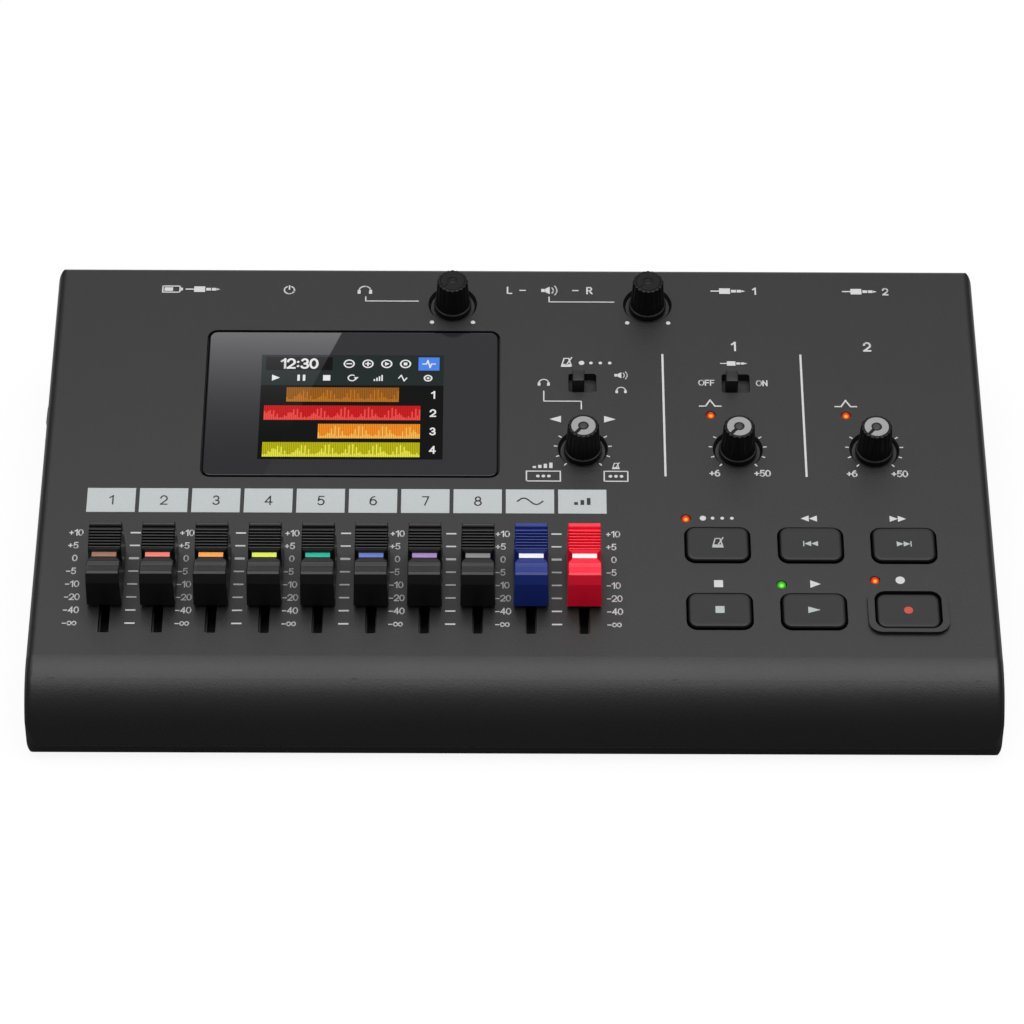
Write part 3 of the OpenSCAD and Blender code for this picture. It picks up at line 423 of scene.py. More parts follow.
dress("combo_jacks", moulded("input_jack_black", (0.009, 0.009, 0.0095), 0.36, coat=0.15))
contact_gilt = plated("contact_gilt", (0.75, 0.5, 0.2), 0.25)
latch_black = moulded("latch_black", (0.02, 0.02, 0.021), 0.4)
input_x, input_z, latch_z, pin_circle = (61.0, 97.9), 19.8, 33.4, 5.3
pin_tube = [(1.22, -6), (1.22, -0.1), (1.12, 0), (0.85, 0), (0.8, -0.2), (0.8, -5.5)]
core_ring = [(3.27, -8), (3.27, 0.1), (3.5, 0.28), (3.9, 0.28), (4.0, 0.1), (4.0, -0.3), (3.27, -8)]
latch_tab = [(0, -1), (0, 0.5), (0.15, 0.75), (0.4, 0.85)]
for i, x in enumerate(input_x, 1):
    for j, a in enumerate((30, 150, 270), 1):
        dx, dz = pin_circle * math.cos(math.radians(a)), pin_circle * math.sin(math.radians(a))
        seat = facing_rear(x + dx, rear_y - 0.6, input_z + dz)
        make_piece(f"input_{i}_contact_{j}", *lathe(pin_tube, 20), contact_gilt, "case", seat)
    seat = facing_rear(x, rear_y - 0.05, input_z)
    make_piece(f"input_{i}_core_ring", *lathe(core_ring, close=False), contact_nickel, "case", seat)
    tab = slab(6.4, 2.6, 0.7, latch_tab)
    make_piece(f"input_{i}_latch", *tab, latch_black, "case", facing_rear(x, rear_y, latch_z))

# Phone jacks: three black barrels through the rear panel, each clamped by a hex nut.
# Threaded black plastic barrels with a nickel sleeve inside, and bright nickel nuts with chamfered corners.
jack_black = moulded("phone_jack_black", (0.012, 0.012, 0.0125), 0.34, coat=0.2)
nut_nickel = plated("nut_nickel", (0.6, 0.59, 0.57), 0.24)
phone_z, phone_block, barrel_r, nut_r = 14.0, 12, 4.55, 6.69
thread = [(barrel_r - 0.18 * (k % 2), -0.5 + 0.25 * k) for k in range(17)]
mouth = [(barrel_r, 3.6), (4.6, 4.2), (4.35, 4.48), (3.7, 4.5), (3.25, 4.2), (3.22, -21), (4.5, -21)]
hexagon = [Matrix.Rotation(math.radians(60 * k), 3, "Z") @ Vector((nut_r, 0, 0)) for k in range(7)]
nut_edge = [hexagon[k].lerp(hexagon[k + 1], m / 8) for k in range(6) for m in range(8)]
nut_bore = 4.66
nut_levels = [(6.1, 0.02), (nut_r, 0.35), (nut_r, 2.2), (5.9, 2.58), (5.0, 2.6)]
nut_levels += [(nut_bore, 2.45), (nut_bore, 0.02)]
sleeve = [(3.22, 4.1), (3.22, -14), (3.05, -14), (3.05, 4.1), (3.22, 4.1)]


def nut_ring(limit, z):
    """The hexagon cut back to a circle of radius limit, at height z."""
    return [(p.x * min(1, limit / p.length), p.y * min(1, limit / p.length), z) for p in nut_edge]


nut = loft([nut_ring(limit, z) for limit, z in nut_levels], close=False)
for jack, x in (("phones", -41.9), ("output_left", -1.65), ("output_right", 20.8)):
    seat = facing_rear(x, rear_y, phone_z)
    barrel_points, barrel_faces = lathe([(barrel_r, -3.0)] + thread + mouth)
    block_points, block_faces = slab(phone_block, phone_block, 0.4, [(0, -24.3), (0, -2.35)], 2)
    start = len(barrel_points)
    points = barrel_points + block_points
    faces = barrel_faces[:-2] + [tuple(start + k for k in f) for f in block_faces[:-1]]
    piece = make_piece(f"{jack}_jack_barrel", points, faces, jack_black, "case", seat)
    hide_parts("phone_jacks")
    make_piece(f"{jack}_jack_nut", *nut, nut_nickel, "case", seat)
    make_piece(f"{jack}_jack_sleeve", *lathe(sleeve, close=False), contact_nickel, "case", seat)

# USB socket, card socket and power switch lever: bright folded-steel shells on the boards.
# The power lever is a ribbed black slider in its slot in the rear panel.
shell_steel = plated("shell_steel", (0.62, 0.62, 0.63), 0.28)
dress("usb_socket", shell_steel)
dress("card_socket", shell_steel)
tongue = slab(6.8, 0.75, 0.15, [(0, -7), (0, -0.2), (0.1, 0)], 2)
make_piece("usb_tongue", *tongue, jack_black, "case", facing_rear(-91.6, rear_y - 1.55, 9.65))
power_black = moulded("power_lever_black", (0.014, 0.014, 0.015), 0.45)
grooves = [(0.12 * (k % 2), 0.3 + 0.2 * k) for k in range(7)]
lever = slab(3.6, 2.4, 0.35, [(0, -6.4), (0, 0.2)] + grooves + [(0.1, 1.75), (0.3, 1.95)], 4)
seat = facing_rear(-64.5, rear_y, 11.0)
power_lever = make_piece("power_lever", *lever, power_black, "power_switch_lever", seat)
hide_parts("power_switch_lever")

# Card door: a small flap in the left side wall, hinged at its lower edge, with a finger lip on top.
# The same plastic as the case.
case_grey = moulded(
    "case_grey", (0.0066, 0.0063, 0.0064), 0.42, relief=1.0, edge=0.00012, grain=0.0005, gloss=0.62
)
dress("card_door", case_grey)

# Top case: the sloped panel with its rounded front, moulded in one with the side walls.
# Dark grey plastic with a very fine matt texture, the same all over.
dress("top_case", case_grey)
panel_slope, panel_rear_z = 7.1, 39.3
panel_edge = Matrix.Translation((0, rear_y * mm, panel_rear_z * mm))
panel = panel_edge @ Matrix.Rotation(math.radians(panel_slope), 4, "X")

# Panel print: pale grey ink for the scales, ticks, leader lines and plain pictograms.
# Printed flat on the panel, so it is a thin sheet just above the face.
print_sheet = [[], []]


def panel_shapes(outlines):
    """Adds outlines given as u and minus v."""
    add_shapes(print_sheet, outlines)


def disc(x, y, r, steps=24):
    return arc(x, y, r, 0, 360 - 360 / steps, steps - 1)


def scaled(x, y, k, outlines):
    """Outlines drawn about the origin, made k times as large and moved to x and y."""
    return [[(x + k * px, y + k * py) for px, py in outline] for outline in outlines]


def rewind_mark(x, y, s, turn=1):
    """Two triangles, pointing left, or right where turn is -1."""
    arrows = [[(turn * foot, -0.5), (turn * foot, 0.5), (turn * (foot - 1.05), 0)] for foot in (0.05, 1.1)]
    return scaled(x, y, s, [arrow[::turn] for arrow in arrows])


def plug_mark(x, y, k):
    """A phone plug lying with its tip to the right, nine units long."""
    grip, sleeve, ring = bar(-2.4, -0.95, 0.4, 0.95), bar(0.65, -0.45, 1.9, 0.45), bar(2.1, -0.45, 3.2, 0.45)
    tip = [(3.3, -0.35), (4.3, 0), (3.3, 0.35)]
    cord = bar(-4.6, -0.2, -2.4, 0.2)
    return scaled(x, y, k, [grip, sleeve, ring, tip, cord])


def speaker_mark(x, y, k):
    """A small loudspeaker with two sound arcs."""
    horn = [(-1.1, -0.6), (0.2, -1.4), (0.2, 1.4), (-1.1, 0.6)]
    waves = stroke(arc(-0.3, 0, 1.5, -40, 40, 6), 0.34) + stroke(arc(-0.3, 0, 2.5, -40, 40, 8), 0.34)
    return scaled(x, y, k, [horn, bar(-2.2, -0.6, -1.2, 0.6)] + waves)


def battery_mark(x, y, k):
    """A cell lying on its side with its contact to the right, half filled."""
    shell = stroke([(-2.2, -1.0), (2.0, -1.0), (2.0, 1.0), (-2.2, 1.0), (-2.2, -1.0)], 0.34)
    return scaled(x, y, k, shell + [bar(-1.8, -0.6, 0.3, 0.6), bar(2.2, -0.45, 2.7, 0.45)])


def metronome_mark(x, y, s, width):
    """Tapered case with a filled foot, crossed by its leaning pendulum."""
    case = [(-0.48, -0.52), (0.48, -0.52), (0.22, 0.5), (-0.22, 0.5), (-0.48, -0.52)]
    foot = [(-0.44, -0.5), (0.44, -0.5), (0.38, -0.22), (-0.38, -0.22)]
    case, foot, pendulum = scaled(x, y, s, [case, foot, [(0, -0.3), (0.5, 0.6)]])
    return stroke(case, width) + [foot] + stroke(pendulum, width)


fader_u, fader_pitch = -108.58, 14.11
scale_v, scale_step, first_column_u = 96.585, 4.394, -119.45
scale_levels = ("+10", "+5", "0", "-5", "-10", "-20", "-40", "-~")
for fader in range(fader_count):
    gap_u = fader_u + fader_pitch * (fader + 0.5)
    numbers_u = {0: first_column_u, 9: gap_u - 0.92}.get(fader, gap_u - 2.3)
    for i, level in enumerate(scale_levels):
        v = -(scale_v + scale_step * i)
        if fader % 2 == 0:
            thick = 0.72 if level == "0" else 0.48
            panel_shapes([bar(gap_u - 1.55, v - thick / 2, gap_u + 1.15, v + thick / 2)])
        if fader == 0 or fader % 2:
            u = numbers_u + (1.35 if level == "0" else 0.0)
            lettering(print_sheet, level, u, v, 1.9, weight=0.165, left=True)
divider_end, divider_start, divider_half = -76.3, -32.1, 0.29
for u in (40.85, 79.14):
    panel_shapes([bar(u - divider_half, divider_end, u + divider_half, divider_start)])
tick_start, tick_end, dot_circle = 7.15, 7.75, 8.9
for u, v in ((18.49, -66.45), (60.74, -66.5), (98.0, -66.5)):
    for step in (-5, -4, -3, -2, 2, 3, 4, 5):
        a = math.radians(90 - 28 * step)
        tick = [(u + r * math.cos(a), v + r * math.sin(a)) for r in (tick_start, tick_end)]
        panel_shapes(stroke(tick, 0.38))
for u in (-17.5, 37.0):
    for side in (-1, 1):
        a = math.radians(90 + side * 140)
        panel_shapes([disc(u + dot_circle * math.cos(a), -13.74 + dot_circle * math.sin(a), 0.62)])
peak_sign = [(-10.0, -51.1), (-8.4, -51.1), (-7.1, -48.9), (-5.8, -51.1), (-4.2, -51.1)]
for u in (60.74, 98.0):
    lettering(print_sheet, "+6", u - 6.5, -75.1, 2.0)
    lettering(print_sheet, "+50", u + 6.45, -75.1, 2.0)
    panel_shapes(stroke([(u + du, v) for du, v in peak_sign], 0.42))
for words, u in (("1", 60.7), ("2", 97.8)):
    lettering(print_sheet, words, u, -29.2, 2.9)
for words, u, v in (("OFF", 52.8, -42.6), ("ON", 68.1, -42.7)):
    lettering(print_sheet, words, u, v, 1.8)
rear_row = -8.5
for words, u in (("L", -1.65), ("R", 20.8), ("1", 67.1), ("2", 103.9)):
    lettering(print_sheet, words, u, rear_row, 2.3)
panel_shapes([bar(1.2, rear_row - 0.2, 3.0, rear_row + 0.2), bar(16.0, rear_row - 0.2, 17.8, rear_row + 0.2)])
panel_shapes(speaker_mark(9.5, rear_row, 1.0))
panel_shapes(plug_mark(59.9, rear_row, 1.1) + plug_mark(96.8, rear_row, 1.1))
panel_shapes(power_mark(-63.4, rear_row - 0.2, 1.4, 0.42))
panel_shapes(headphones_mark(-42.2, rear_row - 0.3, 1.6, 0.42))
panel_shapes(battery_mark(-96.4, rear_row, 1.15) + plug_mark(-87.5, rear_row, 1.1))
panel_shapes(stroke([(-41.9, -11.2), (-41.9, -12.7), (-27.2, -12.7)], 0.34))
panel_shapes(stroke([(9.5, -11.0), (9.5, -12.8), (27.6, -12.8)], 0.34))
panel_shapes(metronome_mark(14.2, -35.3, 2.9, 0.36))
panel_shapes([disc(18.4 + 2.6 * k, -35.5, 0.5 if k else 0.78) for k in range(4)])
panel_shapes(headphones_mark(7.9, -42.9, 1.3, 0.38))
panel_shapes(speaker_mark(29.2, -40.0, 0.8) + headphones_mark(29.2, -45.6, 1.2, 0.36))
panel_shapes(stroke([(7.9, -45.9), (7.9, -49.5), (18.2, -49.5), (18.2, -52.3)], 0.34))
panel_shapes([[(9.4, -56.0), (12.6, -57.2), (12.6, -54.8)], [(27.6, -56.0), (24.4, -54.8), (24.4, -57.2)]])
panel_shapes(plug_mark(60.7, -35.5, 0.85))
for u0, u1 in ((3.1, 12.3), (24.2, 30.6)):
    mid = (u0 + u1) / 2
    panel_shapes(stroke([(u0, -74.6), (u1, -74.6), (u1, -78.1), (u0, -78.1), (u0, -74.6)], 0.36))
    panel_shapes([disc(mid + 1.5 * k, -76.35, 0.5) for k in (-1, 0, 1)])
panel_shapes([bar(4.8 + 1.5 * k, -73.5, 5.7 + 1.5 * k, -73.5 + 0.7 + 0.4 * k) for k in range(4)])
panel_shapes(metronome_mark(27.4, -72.7, 1.9, 0.26))
panel_shapes([disc(50.6 + 2.6 * k, -90.9, 0.5 if k else 0.85) for k in range(4)])
panel_shapes(rewind_mark(79.0, -90.9, 2.1) + rewind_mark(103.2, -90.9, 2.1, -1))
panel_shapes([bar(53.0, -114.6, 55.4, -112.2)])
panel_shapes([[(78.6, -114.7), (81.4, -113.4), (78.6, -112.1)]])
panel_shapes([disc(102.6, -112.0, 1.25)])
printed("panel_print", print_sheet, ink("panel_print_grey", (0.58, 0.58, 0.585)), "case", panel)

# Label strip: ten pale write-on cells behind the faders, numbered for the tracks.
# A matt light-grey print that takes pencil, with dark numbers and two pictograms.
cell_sheet = [[], []]
dark_sheet = [[], []]


def on_cell(x, y):
    return (x, y, 0.05)


def wave_mark(x, y, w, h, width):
    turn = [t / 12 for t in range(13)]
    return stroke([(x - w / 2 + w * t, y + h / 2 * math.sin(2 * math.pi * t)) for t in turn], width)


cell_u, cell_pitch, cell_w = -115.5, 14.13, 13.05
cell_front, number_row, cell_rear = -89.4, -85.2, -81.05
track_count = 8
for k in range(fader_count):
    u = cell_u + cell_pitch * k
    add_shapes(cell_sheet, [bar(u, cell_front, u + cell_w, cell_rear)])
    if k < track_count:
        lettering(dark_sheet, str(k + 1), u + 6.6, number_row, 2.9, on_cell, 0.13)
add_shapes(dark_sheet, wave_mark(4.1, number_row, 6.8, 2.2, 0.42), on_cell)
for k, rise in enumerate((1.0, 1.7, 2.4)):
    add_shapes(dark_sheet, [bar(16.0 + 1.7 * k, -86.4, 17.0 + 1.7 * k, -86.4 + rise)], on_cell)
printed("label_cells", cell_sheet, ink("cell_grey", (0.47, 0.5, 0.5), 0.7), "case", panel)
printed("label_numbers", dark_sheet, ink("cell_ink", (0.016, 0.018, 0.019)), "case", panel)

# Display: a polished black window let into the panel, with a colour picture lit behind it.
# The picture is a plain level display of this part's own: four lanes of coloured segments.
window_gloss, shader, place = blank_finish("window_gloss")
haze = noise(place, 0.03, 2.0)
smoky = mix_colour(haze, (0.0175, 0.017, 0.021), (0.0195, 0.019, 0.023))
feed(shader, place, {"Base Color": smoky, "Roughness": haze * 0.008 + 0.004, "Specular IOR Level": 0.5})
window_size = (80.7, 52.6, 2.5)


def panel_seat(u, v):
    """Seat on the panel's face: u across and v from its rear edge, in millimetres."""
    return panel @ Matrix.Translation((u * mm, -v * mm, 0))


window_seat = panel_seat(-44.85, 50.35)
glass = slab(*window_size, [(0, -1.1), (0, -0.95), (0.42, -0.9), (0.42, -0.16), (0.46, -0.05), (0.58, 0)])
window = make_piece("display_glass", *glass, window_gloss, "case", window_seat, smooth=20.0)
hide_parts("display_window")
# Painted shade: a matt near-black ring lines the gap round the glass so that the gap reads dark.
gap_shade_ring = slab(*window_size, [(0, -0.93), (0, -0.03), (0.14, -0.03), (0.14, -0.93)], close=False)
gap_shade_black = moulded("gap_shade_black", (0.0012, 0.0012, 0.0012), 0.75, gloss=0.06)
make_piece("window_gap_shade", *gap_shade_ring, gap_shade_black, "case", window_seat)
dress("display_module", moulded("display_module_dark", (0.02, 0.02, 0.022), 0.4))


def lit(name, colour):
    """Lit picture colour behind the polished window, a little uneven like a backlight."""
    finish, shader, place = blank_finish(name)
    glow = noise(place, 0.02, 1.0)
    light = mix_colour(glow, shade(colour, 0.92), shade(colour, 1.05))
    feed(shader, place, {"Emission Color": light, "Emission Strength": 1.0})
    feed(shader, place, {"Base Color": (0.001, 0.001, 0.001), "Roughness": 0.01, "Specular IOR Level": 0.2})
    return finish


lcd_left, lcd_foot, lcd_w, lcd_h = -70.14, -70.57, 50.4, 37.7
picture = {}


def on_lcd(layer):
    return lambda x, y: (x, y, 0.02 + 0.01 * layer)


def show(colour, outlines, layer=1):
    """Adds outlines, given from the picture's lower left corner, to one colour of the picture."""
    sheet = picture.setdefault((colour, layer), [[], []])
    add_shapes(sheet, scaled(lcd_left, lcd_foot, 1, outlines), on_lcd(layer))


def show_words(colour, words, x, y, height):
    sheet = picture.setdefault((colour, 2), [[], []])
    lettering(sheet, words, lcd_left + x, lcd_foot + y, height, on_lcd(2))


picture_colours = {
    "night": (0.0004, 0.0006, 0.0006),
    "slate": (0.013, 0.02, 0.02),
    "white": (0.82, 0.82, 0.82),
    "blue": (0.075, 0.23, 0.8),
    "brown": (0.33, 0.11, 0.008),
    "amber": (0.52, 0.17, 0.01),
    "red": (0.62, 0.006, 0.008),
    "coral": (0.9, 0.07, 0.06),
    "orange": (0.92, 0.27, 0.012),
    "peach": (1.0, 0.5, 0.08),
    "lime": (0.5, 0.47, 0.0),
    "lemon": (0.82, 0.8, 0.06),
}
show("night", [bar(0, 0, lcd_w, lcd_h)], 0)
show("slate", [bar(0, 26.6, lcd_w, lcd_h)])
show("blue", [bar(43.4, 32.1, 49.2, 36.9)], 2)
pulse = [(44.6, 34.5), (45.6, 34.5), (46.0, 35.8), (46.6, 33.2), (47.0, 34.5), (48.0, 34.5)]
show("white", stroke(pulse, 0.35), 3)
show("night", [bar(1.2, 32.1, 19.6, 36.9)], 2)
show_words("white", "12:30", 10.4, 34.5, 3.2)
for k in range(4):
    show("white", stroke(arc(24.2 + 5.2 * k, 34.5, 1.35, 0, 360, 16), 0.4), 2)
show("white", [bar(23.4, 34.3, 25.0, 34.7)], 2)
show("white", [bar(28.6, 34.3, 30.2, 34.7), bar(29.2, 33.7, 29.6, 35.3)], 2)
show("white", [[(34.1, 33.8), (35.4, 34.5), (34.1, 35.2)], bar(39.3, 34.0, 40.3, 35.0)], 2)
small_signs = (
    [[(3.0, 28.2), (5.2, 29.3), (3.0, 30.4)]],
    [bar(10.0, 28.2, 10.7, 30.4), bar(11.5, 28.2, 12.2, 30.4)],
    [bar(17.1, 28.3, 19.1, 30.3)],
    stroke(arc(25.1, 29.3, 1.05, 60, 360, 12), 0.35) + [[(25.6, 29.6), (26.9, 29.6), (26.2, 28.6)]],
    [bar(31.1 + 0.7 * k, 28.2, 31.5 + 0.7 * k, 28.9 + 0.5 * k) for k in range(4)],
    stroke([(38.0, 29.3), (38.7, 30.3), (39.5, 28.3), (40.2, 29.3)], 0.35),
    stroke(arc(46.1, 29.3, 1.0, 0, 360, 14), 0.4) + [disc(46.1, 29.3, 0.4, 10)],
)
for sign in small_signs:
    show("white", sign, 2)
lanes = (
    ("brown", "amber", 20.6, 7, 38),
    ("red", "coral", 14.0, 1, 44),
    ("orange", "peach", 7.4, 16, 44),
    ("lime", "lemon", 0.8, 1, 44),
)
segment_w, segment_pitch, lane_h = 0.43, 0.5, 5.2
for lane, (low, high, y, first, last) in enumerate(lanes):
    show_words("white", str(lane + 1), 47.6, y + 2.6, 2.3)
    for k in range(2 * (first - 1), 2 * (last - 1)):
        x = 1.2 + k * segment_pitch
        rise = 0.8 + 3.8 * abs(math.sin(k * 1.7 + lane * 2.1) * math.sin(k * 0.23 + lane)) ** 1.5
        show(low, [bar(x, y, x + segment_w, y + lane_h)], 2)
        show(high, [bar(x, y, x + segment_w, y + rise)], 3)
for (colour, layer), sheet in picture.items():
    printed(f"picture_{colour}_{layer}", sheet, lit(f"lit_{colour}", picture_colours[colour]), "case", panel)

# Fader caps: ten caps on the levers, each with a ribbed rear slope, a waist and a grooved front slope.
# Satin black plastic, one blue and one red, and a coloured line printed across each waist.
fader_v = 112.65
cap_foot, cap_peak, cap_half = 1.2, 13.2, 4.65
rib_start, rib_pitch, rib_depth = -7.15, 0.833, 0.85
waist_start, waist_flat, waist_end, waist_n = -1.32, 0.95, 2.65, 10.95
groove_pitch, front_lip = 0.6, 7.42


def cap_top(v):
    """Height of a cap's top above the panel, v millimetres in front of its middle."""
    if v < -8.0:
        return cap_peak - 0.38 * ((v + 8.85) / 0.85) ** 2 - 1.5 * max(0.0, -9.1 - v) ** 2
    if v < -7.2:
        return 12.2
    if v < waist_start:
        across = abs((v - rib_start) / rib_pitch % 1.0 - 0.5)
        return 13.05 - 1.45 * (v - rib_start) / 5.83 - rib_depth * min(1.0, max(0.0, (across - 0.17) / 0.06))
    if v < waist_flat:
        return max(waist_n, 11.7 - 0.75 * (v - waist_start) / 0.77)
    if v < waist_end:
        return waist_n + 0.65 * (v - waist_flat) / 1.7
    if v < 7.3:
        groove = 0.5 + 0.5 * math.cos(2 * math.pi * (v - waist_end) / groove_pitch)
        depth = 0.18 if v < 4.75 else 0.04
        step = 0.5 if v > 7.0 else 0.0
        return 11.6 + 1.35 * (v - waist_end) / 4.65 - depth * groove - step
    if v < front_lip:
        return 12.4
    return cap_peak - 0.32 * (v - front_lip)


def cap_shape():
    """Rings along a cap from its rear end to its front end, with both ends closed by level bands."""
    stations = [-9.4, -9.3, -9.15, -8.95, -8.75, -8.5, -8.25, -8.02, -7.94, -7.22]
    rib_stations = (0.0, 0.27, 0.33, 0.5, 0.67, 0.73)
    stations += [rib_start + rib_pitch * (k + d) for k in range(7) for d in rib_stations]
    stations += [-1.3, -0.56, -0.5, 0.9, 0.98, 1.8, 2.6]
    stations += [waist_end + groove_pitch / 4 * k for k in range(29)]
    stations += [6.98, 7.02, 7.38, 7.44, 7.8, 8.2]
    loops = []
    for v in stations:
        top = cap_top(v)
        notch = 1.05 * max(0.0, min(1.0, (v - waist_start) / 0.77, (waist_end - v) / 1.7))
        levels = [(n, 0.0) for n in (cap_foot, 4.0, 6.5, 8.6, 9.9, top - 0.3)]
        ring = []
        for n, round_off in levels + [(top - 0.12, 0.05), (top, 0.2)]:
            share = (n - cap_foot) / (cap_peak - cap_foot)
            half = cap_half - 0.32 * share
            cut = notch * min(1.0, max(0.0, (n - 6.5) / 3.7))
            lean = 0.95 * min(1.0, (cap_peak - n) / 3.3) + 0.33 * math.sin(1.9 * max(0.0, (9.9 - n) / 8.7))
            reach = 0.65 * (1 - share) * v / 9.0 if v < 0 else lean * v / 8.2
            ring.append((half - cut - round_off, v + reach, n))
        loops.append([(x, -y, n) for x, y, n in ring] + [(-x, -y, n) for x, y, n in reversed(ring)])
    points, faces = loft(loops, close=False)
    for first in (0, len(points) - 16):
        faces += [(first + k, first + k + 1, first + 14 - k, first + 15 - k) for k in range(7)]
    return points, faces


line_colours = [(0.30, 0.155, 0.09), (0.87, 0.19, 0.14), (0.95, 0.35, 0.06), (0.71, 0.82, 0.08)]
line_colours += [(0.0, 0.43, 0.30), (0.115, 0.17, 0.51), (0.35, 0.22, 0.51), (0.22, 0.22, 0.22)]
line_colours += [(0.85, 0.85, 0.86), (0.88, 0.84, 0.84)]
cap_black = moulded("cap_black", (0.0065, 0.0065, 0.007), 0.34, relief=0.12, edge=0.0002, gloss=0.48)
cap_blue = moulded("cap_blue", (0.009, 0.026, 0.2), 0.36, relief=0.12, edge=0.0002, gloss=0.42)
cap_red = moulded("cap_red", (0.95, 0.005, 0.036), 0.36, relief=0.12, edge=0.0002, gloss=0.5)
cap_points, cap_faces = cap_shape()
line = slab(6.5, 1.46, 0.1, [(0, -0.1), (0, 0.06), (0.05, 0.09)], 2)
for i in range(1, fader_count + 1):
    seat = panel_seat(fader_u + fader_pitch * (i - 1), fader_v)
    finish, slot = {9: (cap_blue, "cap_blue"), 10: (cap_red, "cap_red")}.get(i, (cap_black, "cap_black"))
    cap = make_piece(f"cap_{i}", cap_points, cap_faces, finish, f"fader_{i}", seat, smooth=8.0)
    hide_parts(f"fader_cap_{i}")
    line_ink = ink(f"line_ink_{i}", line_colours[i - 1], 0.45)
    line_seat = seat @ Matrix.Translation((0, -0.2 * mm, waist_n * mm))
    make_piece(f"cap_line_{i}", *line, line_ink, f"fader_{i}", line_seat)

# Knobs: five fluted knobs on the pot shafts, each in a shallow dish of the panel.
# Satin black plastic. Three have a pale cap disc with a pointer slot, the two at the rear are plain.
knob_black = moulded("knob_black", (0.0055, 0.0055, 0.006), 0.36, relief=0.1, edge=0.00015, gloss=0.25)
knob_hub = moulded("knob_hub_grey", (0.045, 0.045, 0.047), 0.45, relief=0.1)
disc_pale = moulded("disc_pale", (0.3, 0.3, 0.305), 0.42, relief=0.1, edge=0.0001)


def knob_ring(radius, n, depth, flutes=18, steps=144):
    """A ring with flutes of this depth."""
    ring = []
    for k in range(steps):
        a = 2 * math.pi * k / steps
        cut = radius - depth * max(0.0, math.cos(flutes * a)) ** 0.6
        ring.append((cut * math.cos(a), cut * math.sin(a), n))
    return ring


crown_foot, crown_top = 9.6, 9.74
skirt = [(5.2, -0.8, 0), (5.2, 0.2, 0), (5.16, 0.42, 0), (5.05, 0.55, 0), (4.72, 0.64, 0)]
grip = [(4.7, 0.9, 0.1), (4.68, 1.3, 0.26), (4.28, 8.6, 0.26), (4.22, 9.35, 0.26), (4.1, 9.62, 0.2)]
lip = [(3.85, crown_top, 0.06), (3.5, crown_top, 0), (3.42, 9.66, 0), (3.38, crown_foot, 0)]
profile = skirt + grip + lip + [(0.4, crown_foot, 0)]
knob_points, knob_faces = loft([knob_ring(*level) for level in profile])
pointer = 90 + 140
outer = arc(0, 0, 3.3, pointer + 8.5, pointer + 351.5, 48)
inner = arc(0, 0, 1.45, pointer + 20, pointer + 340, 48)
edge = outer + inner[::-1]
crown_points, crown_faces = loft([[(x, y, n) for x, y in edge] for n in (crown_foot, crown_top)], close=False)
start, end = len(edge), 2 * len(edge) - 1
crown_faces += [(start + k, start + k + 1, end - 1 - k, end - k) for k in range(len(outer) - 1)]
hub = lathe([(1.08, crown_foot), (1.08, 9.66), (0.95, 9.72), (0.2, crown_top)], 24)
knobs = (
    ("phones", -17.5, 13.73, False),
    ("output", 37.0, 13.73, False),
    ("balance", 18.5, 66.5, True),
    ("gain_1", 60.75, 66.5, True),
    ("gain_2", 98.0, 66.5, True),
)
for control, u, v, capped in knobs:
    seat = panel_seat(u, v)
    name = f"{control}_fluted_knob"
    knob = make_piece(name, knob_points, knob_faces, knob_black, control, seat, smooth=30.0)
    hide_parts(f"{control}_knob")
    finish = disc_pale if capped else knob_black
    make_piece(f"{control}_crown", crown_points, crown_faces, finish, control, seat, smooth=30.0)
    make_piece(f"{control}_hub", *hub, knob_hub if capped else knob_black, control, seat)

# Keys: six soft keys in cut-outs of the panel, the record key inside a raised ring.
# Silicone rubber with a matt face, marked with plain transport signs. The sides are a near-black, more matt
# copy of the same rubber: painted shade.
key_rubber = moulded("key_rubber", (0.0098, 0.01, 0.0104), 0.44, relief=0.2, edge=0.0001, gloss=0.46)
# Painted shade: the sides of each key are coloured far darker and more matt than its face.
key_rim = moulded("key_rim", (0.0015, 0.0015, 0.0015), 0.5, relief=0.05, edge=0.0001, gloss=0.07)
sign_grey = ink("sign_grey", (0.42, 0.455, 0.455))
sign_red = ink("sign_red", (0.5, 0.062, 0.03))
key_columns, key_rows = (54.3, 79.25, 104.2), (100.15, 122.7)
key_size = (17.0, 11.7, 2.6)
rim_skin = slab(*key_size, [(0, -3.2), (0, 0.25), (0.06, 0.42), (0.2, 0.52), (0.5, 0.55)])
face_rise = [(0.42, 0.3), (0.42, 0.6), (0.5, 0.68), (0.86, 0.79), (1.0, 0.8), (2.2, 0.77), (3.6, 0.75)]
face_skin = slab(*key_size, face_rise)
signs = {
    "click": metronome_mark(0, 0.2, 2.9, 0.34),
    "rewind": rewind_mark(0, 0, 1.75) + [bar(-2.05, -0.9, -1.75, 0.9)],
    "forward": rewind_mark(0, 0, 1.75, -1) + [bar(1.75, -0.9, 2.05, 0.9)],
    "stop": [bar(-1.2, -1.15, 1.2, 1.15)],
    "play": [[(-1.6, -1.1), (1.7, 0), (-1.6, 1.1)]],
    "record": [disc(0, 0, 1.2)],
}


def on_key(x, y):
    return (x, y, 0.83)


for k, (name, outlines) in enumerate(signs.items()):
    seat = panel_seat(key_columns[k % 3], key_rows[k // 3])
    body = f"{name}_key"
    rim = make_piece(f"{name}_rim", *rim_skin, key_rim, body, seat)
    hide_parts(body)
    make_piece(f"{name}_face", *face_skin, key_rubber, body, seat, smooth=12.0)
    sheet = [[], []]
    add_shapes(sheet, outlines, on_key)
    printed(f"{name}_sign", sheet, sign_red if name == "record" else sign_grey, body, seat)

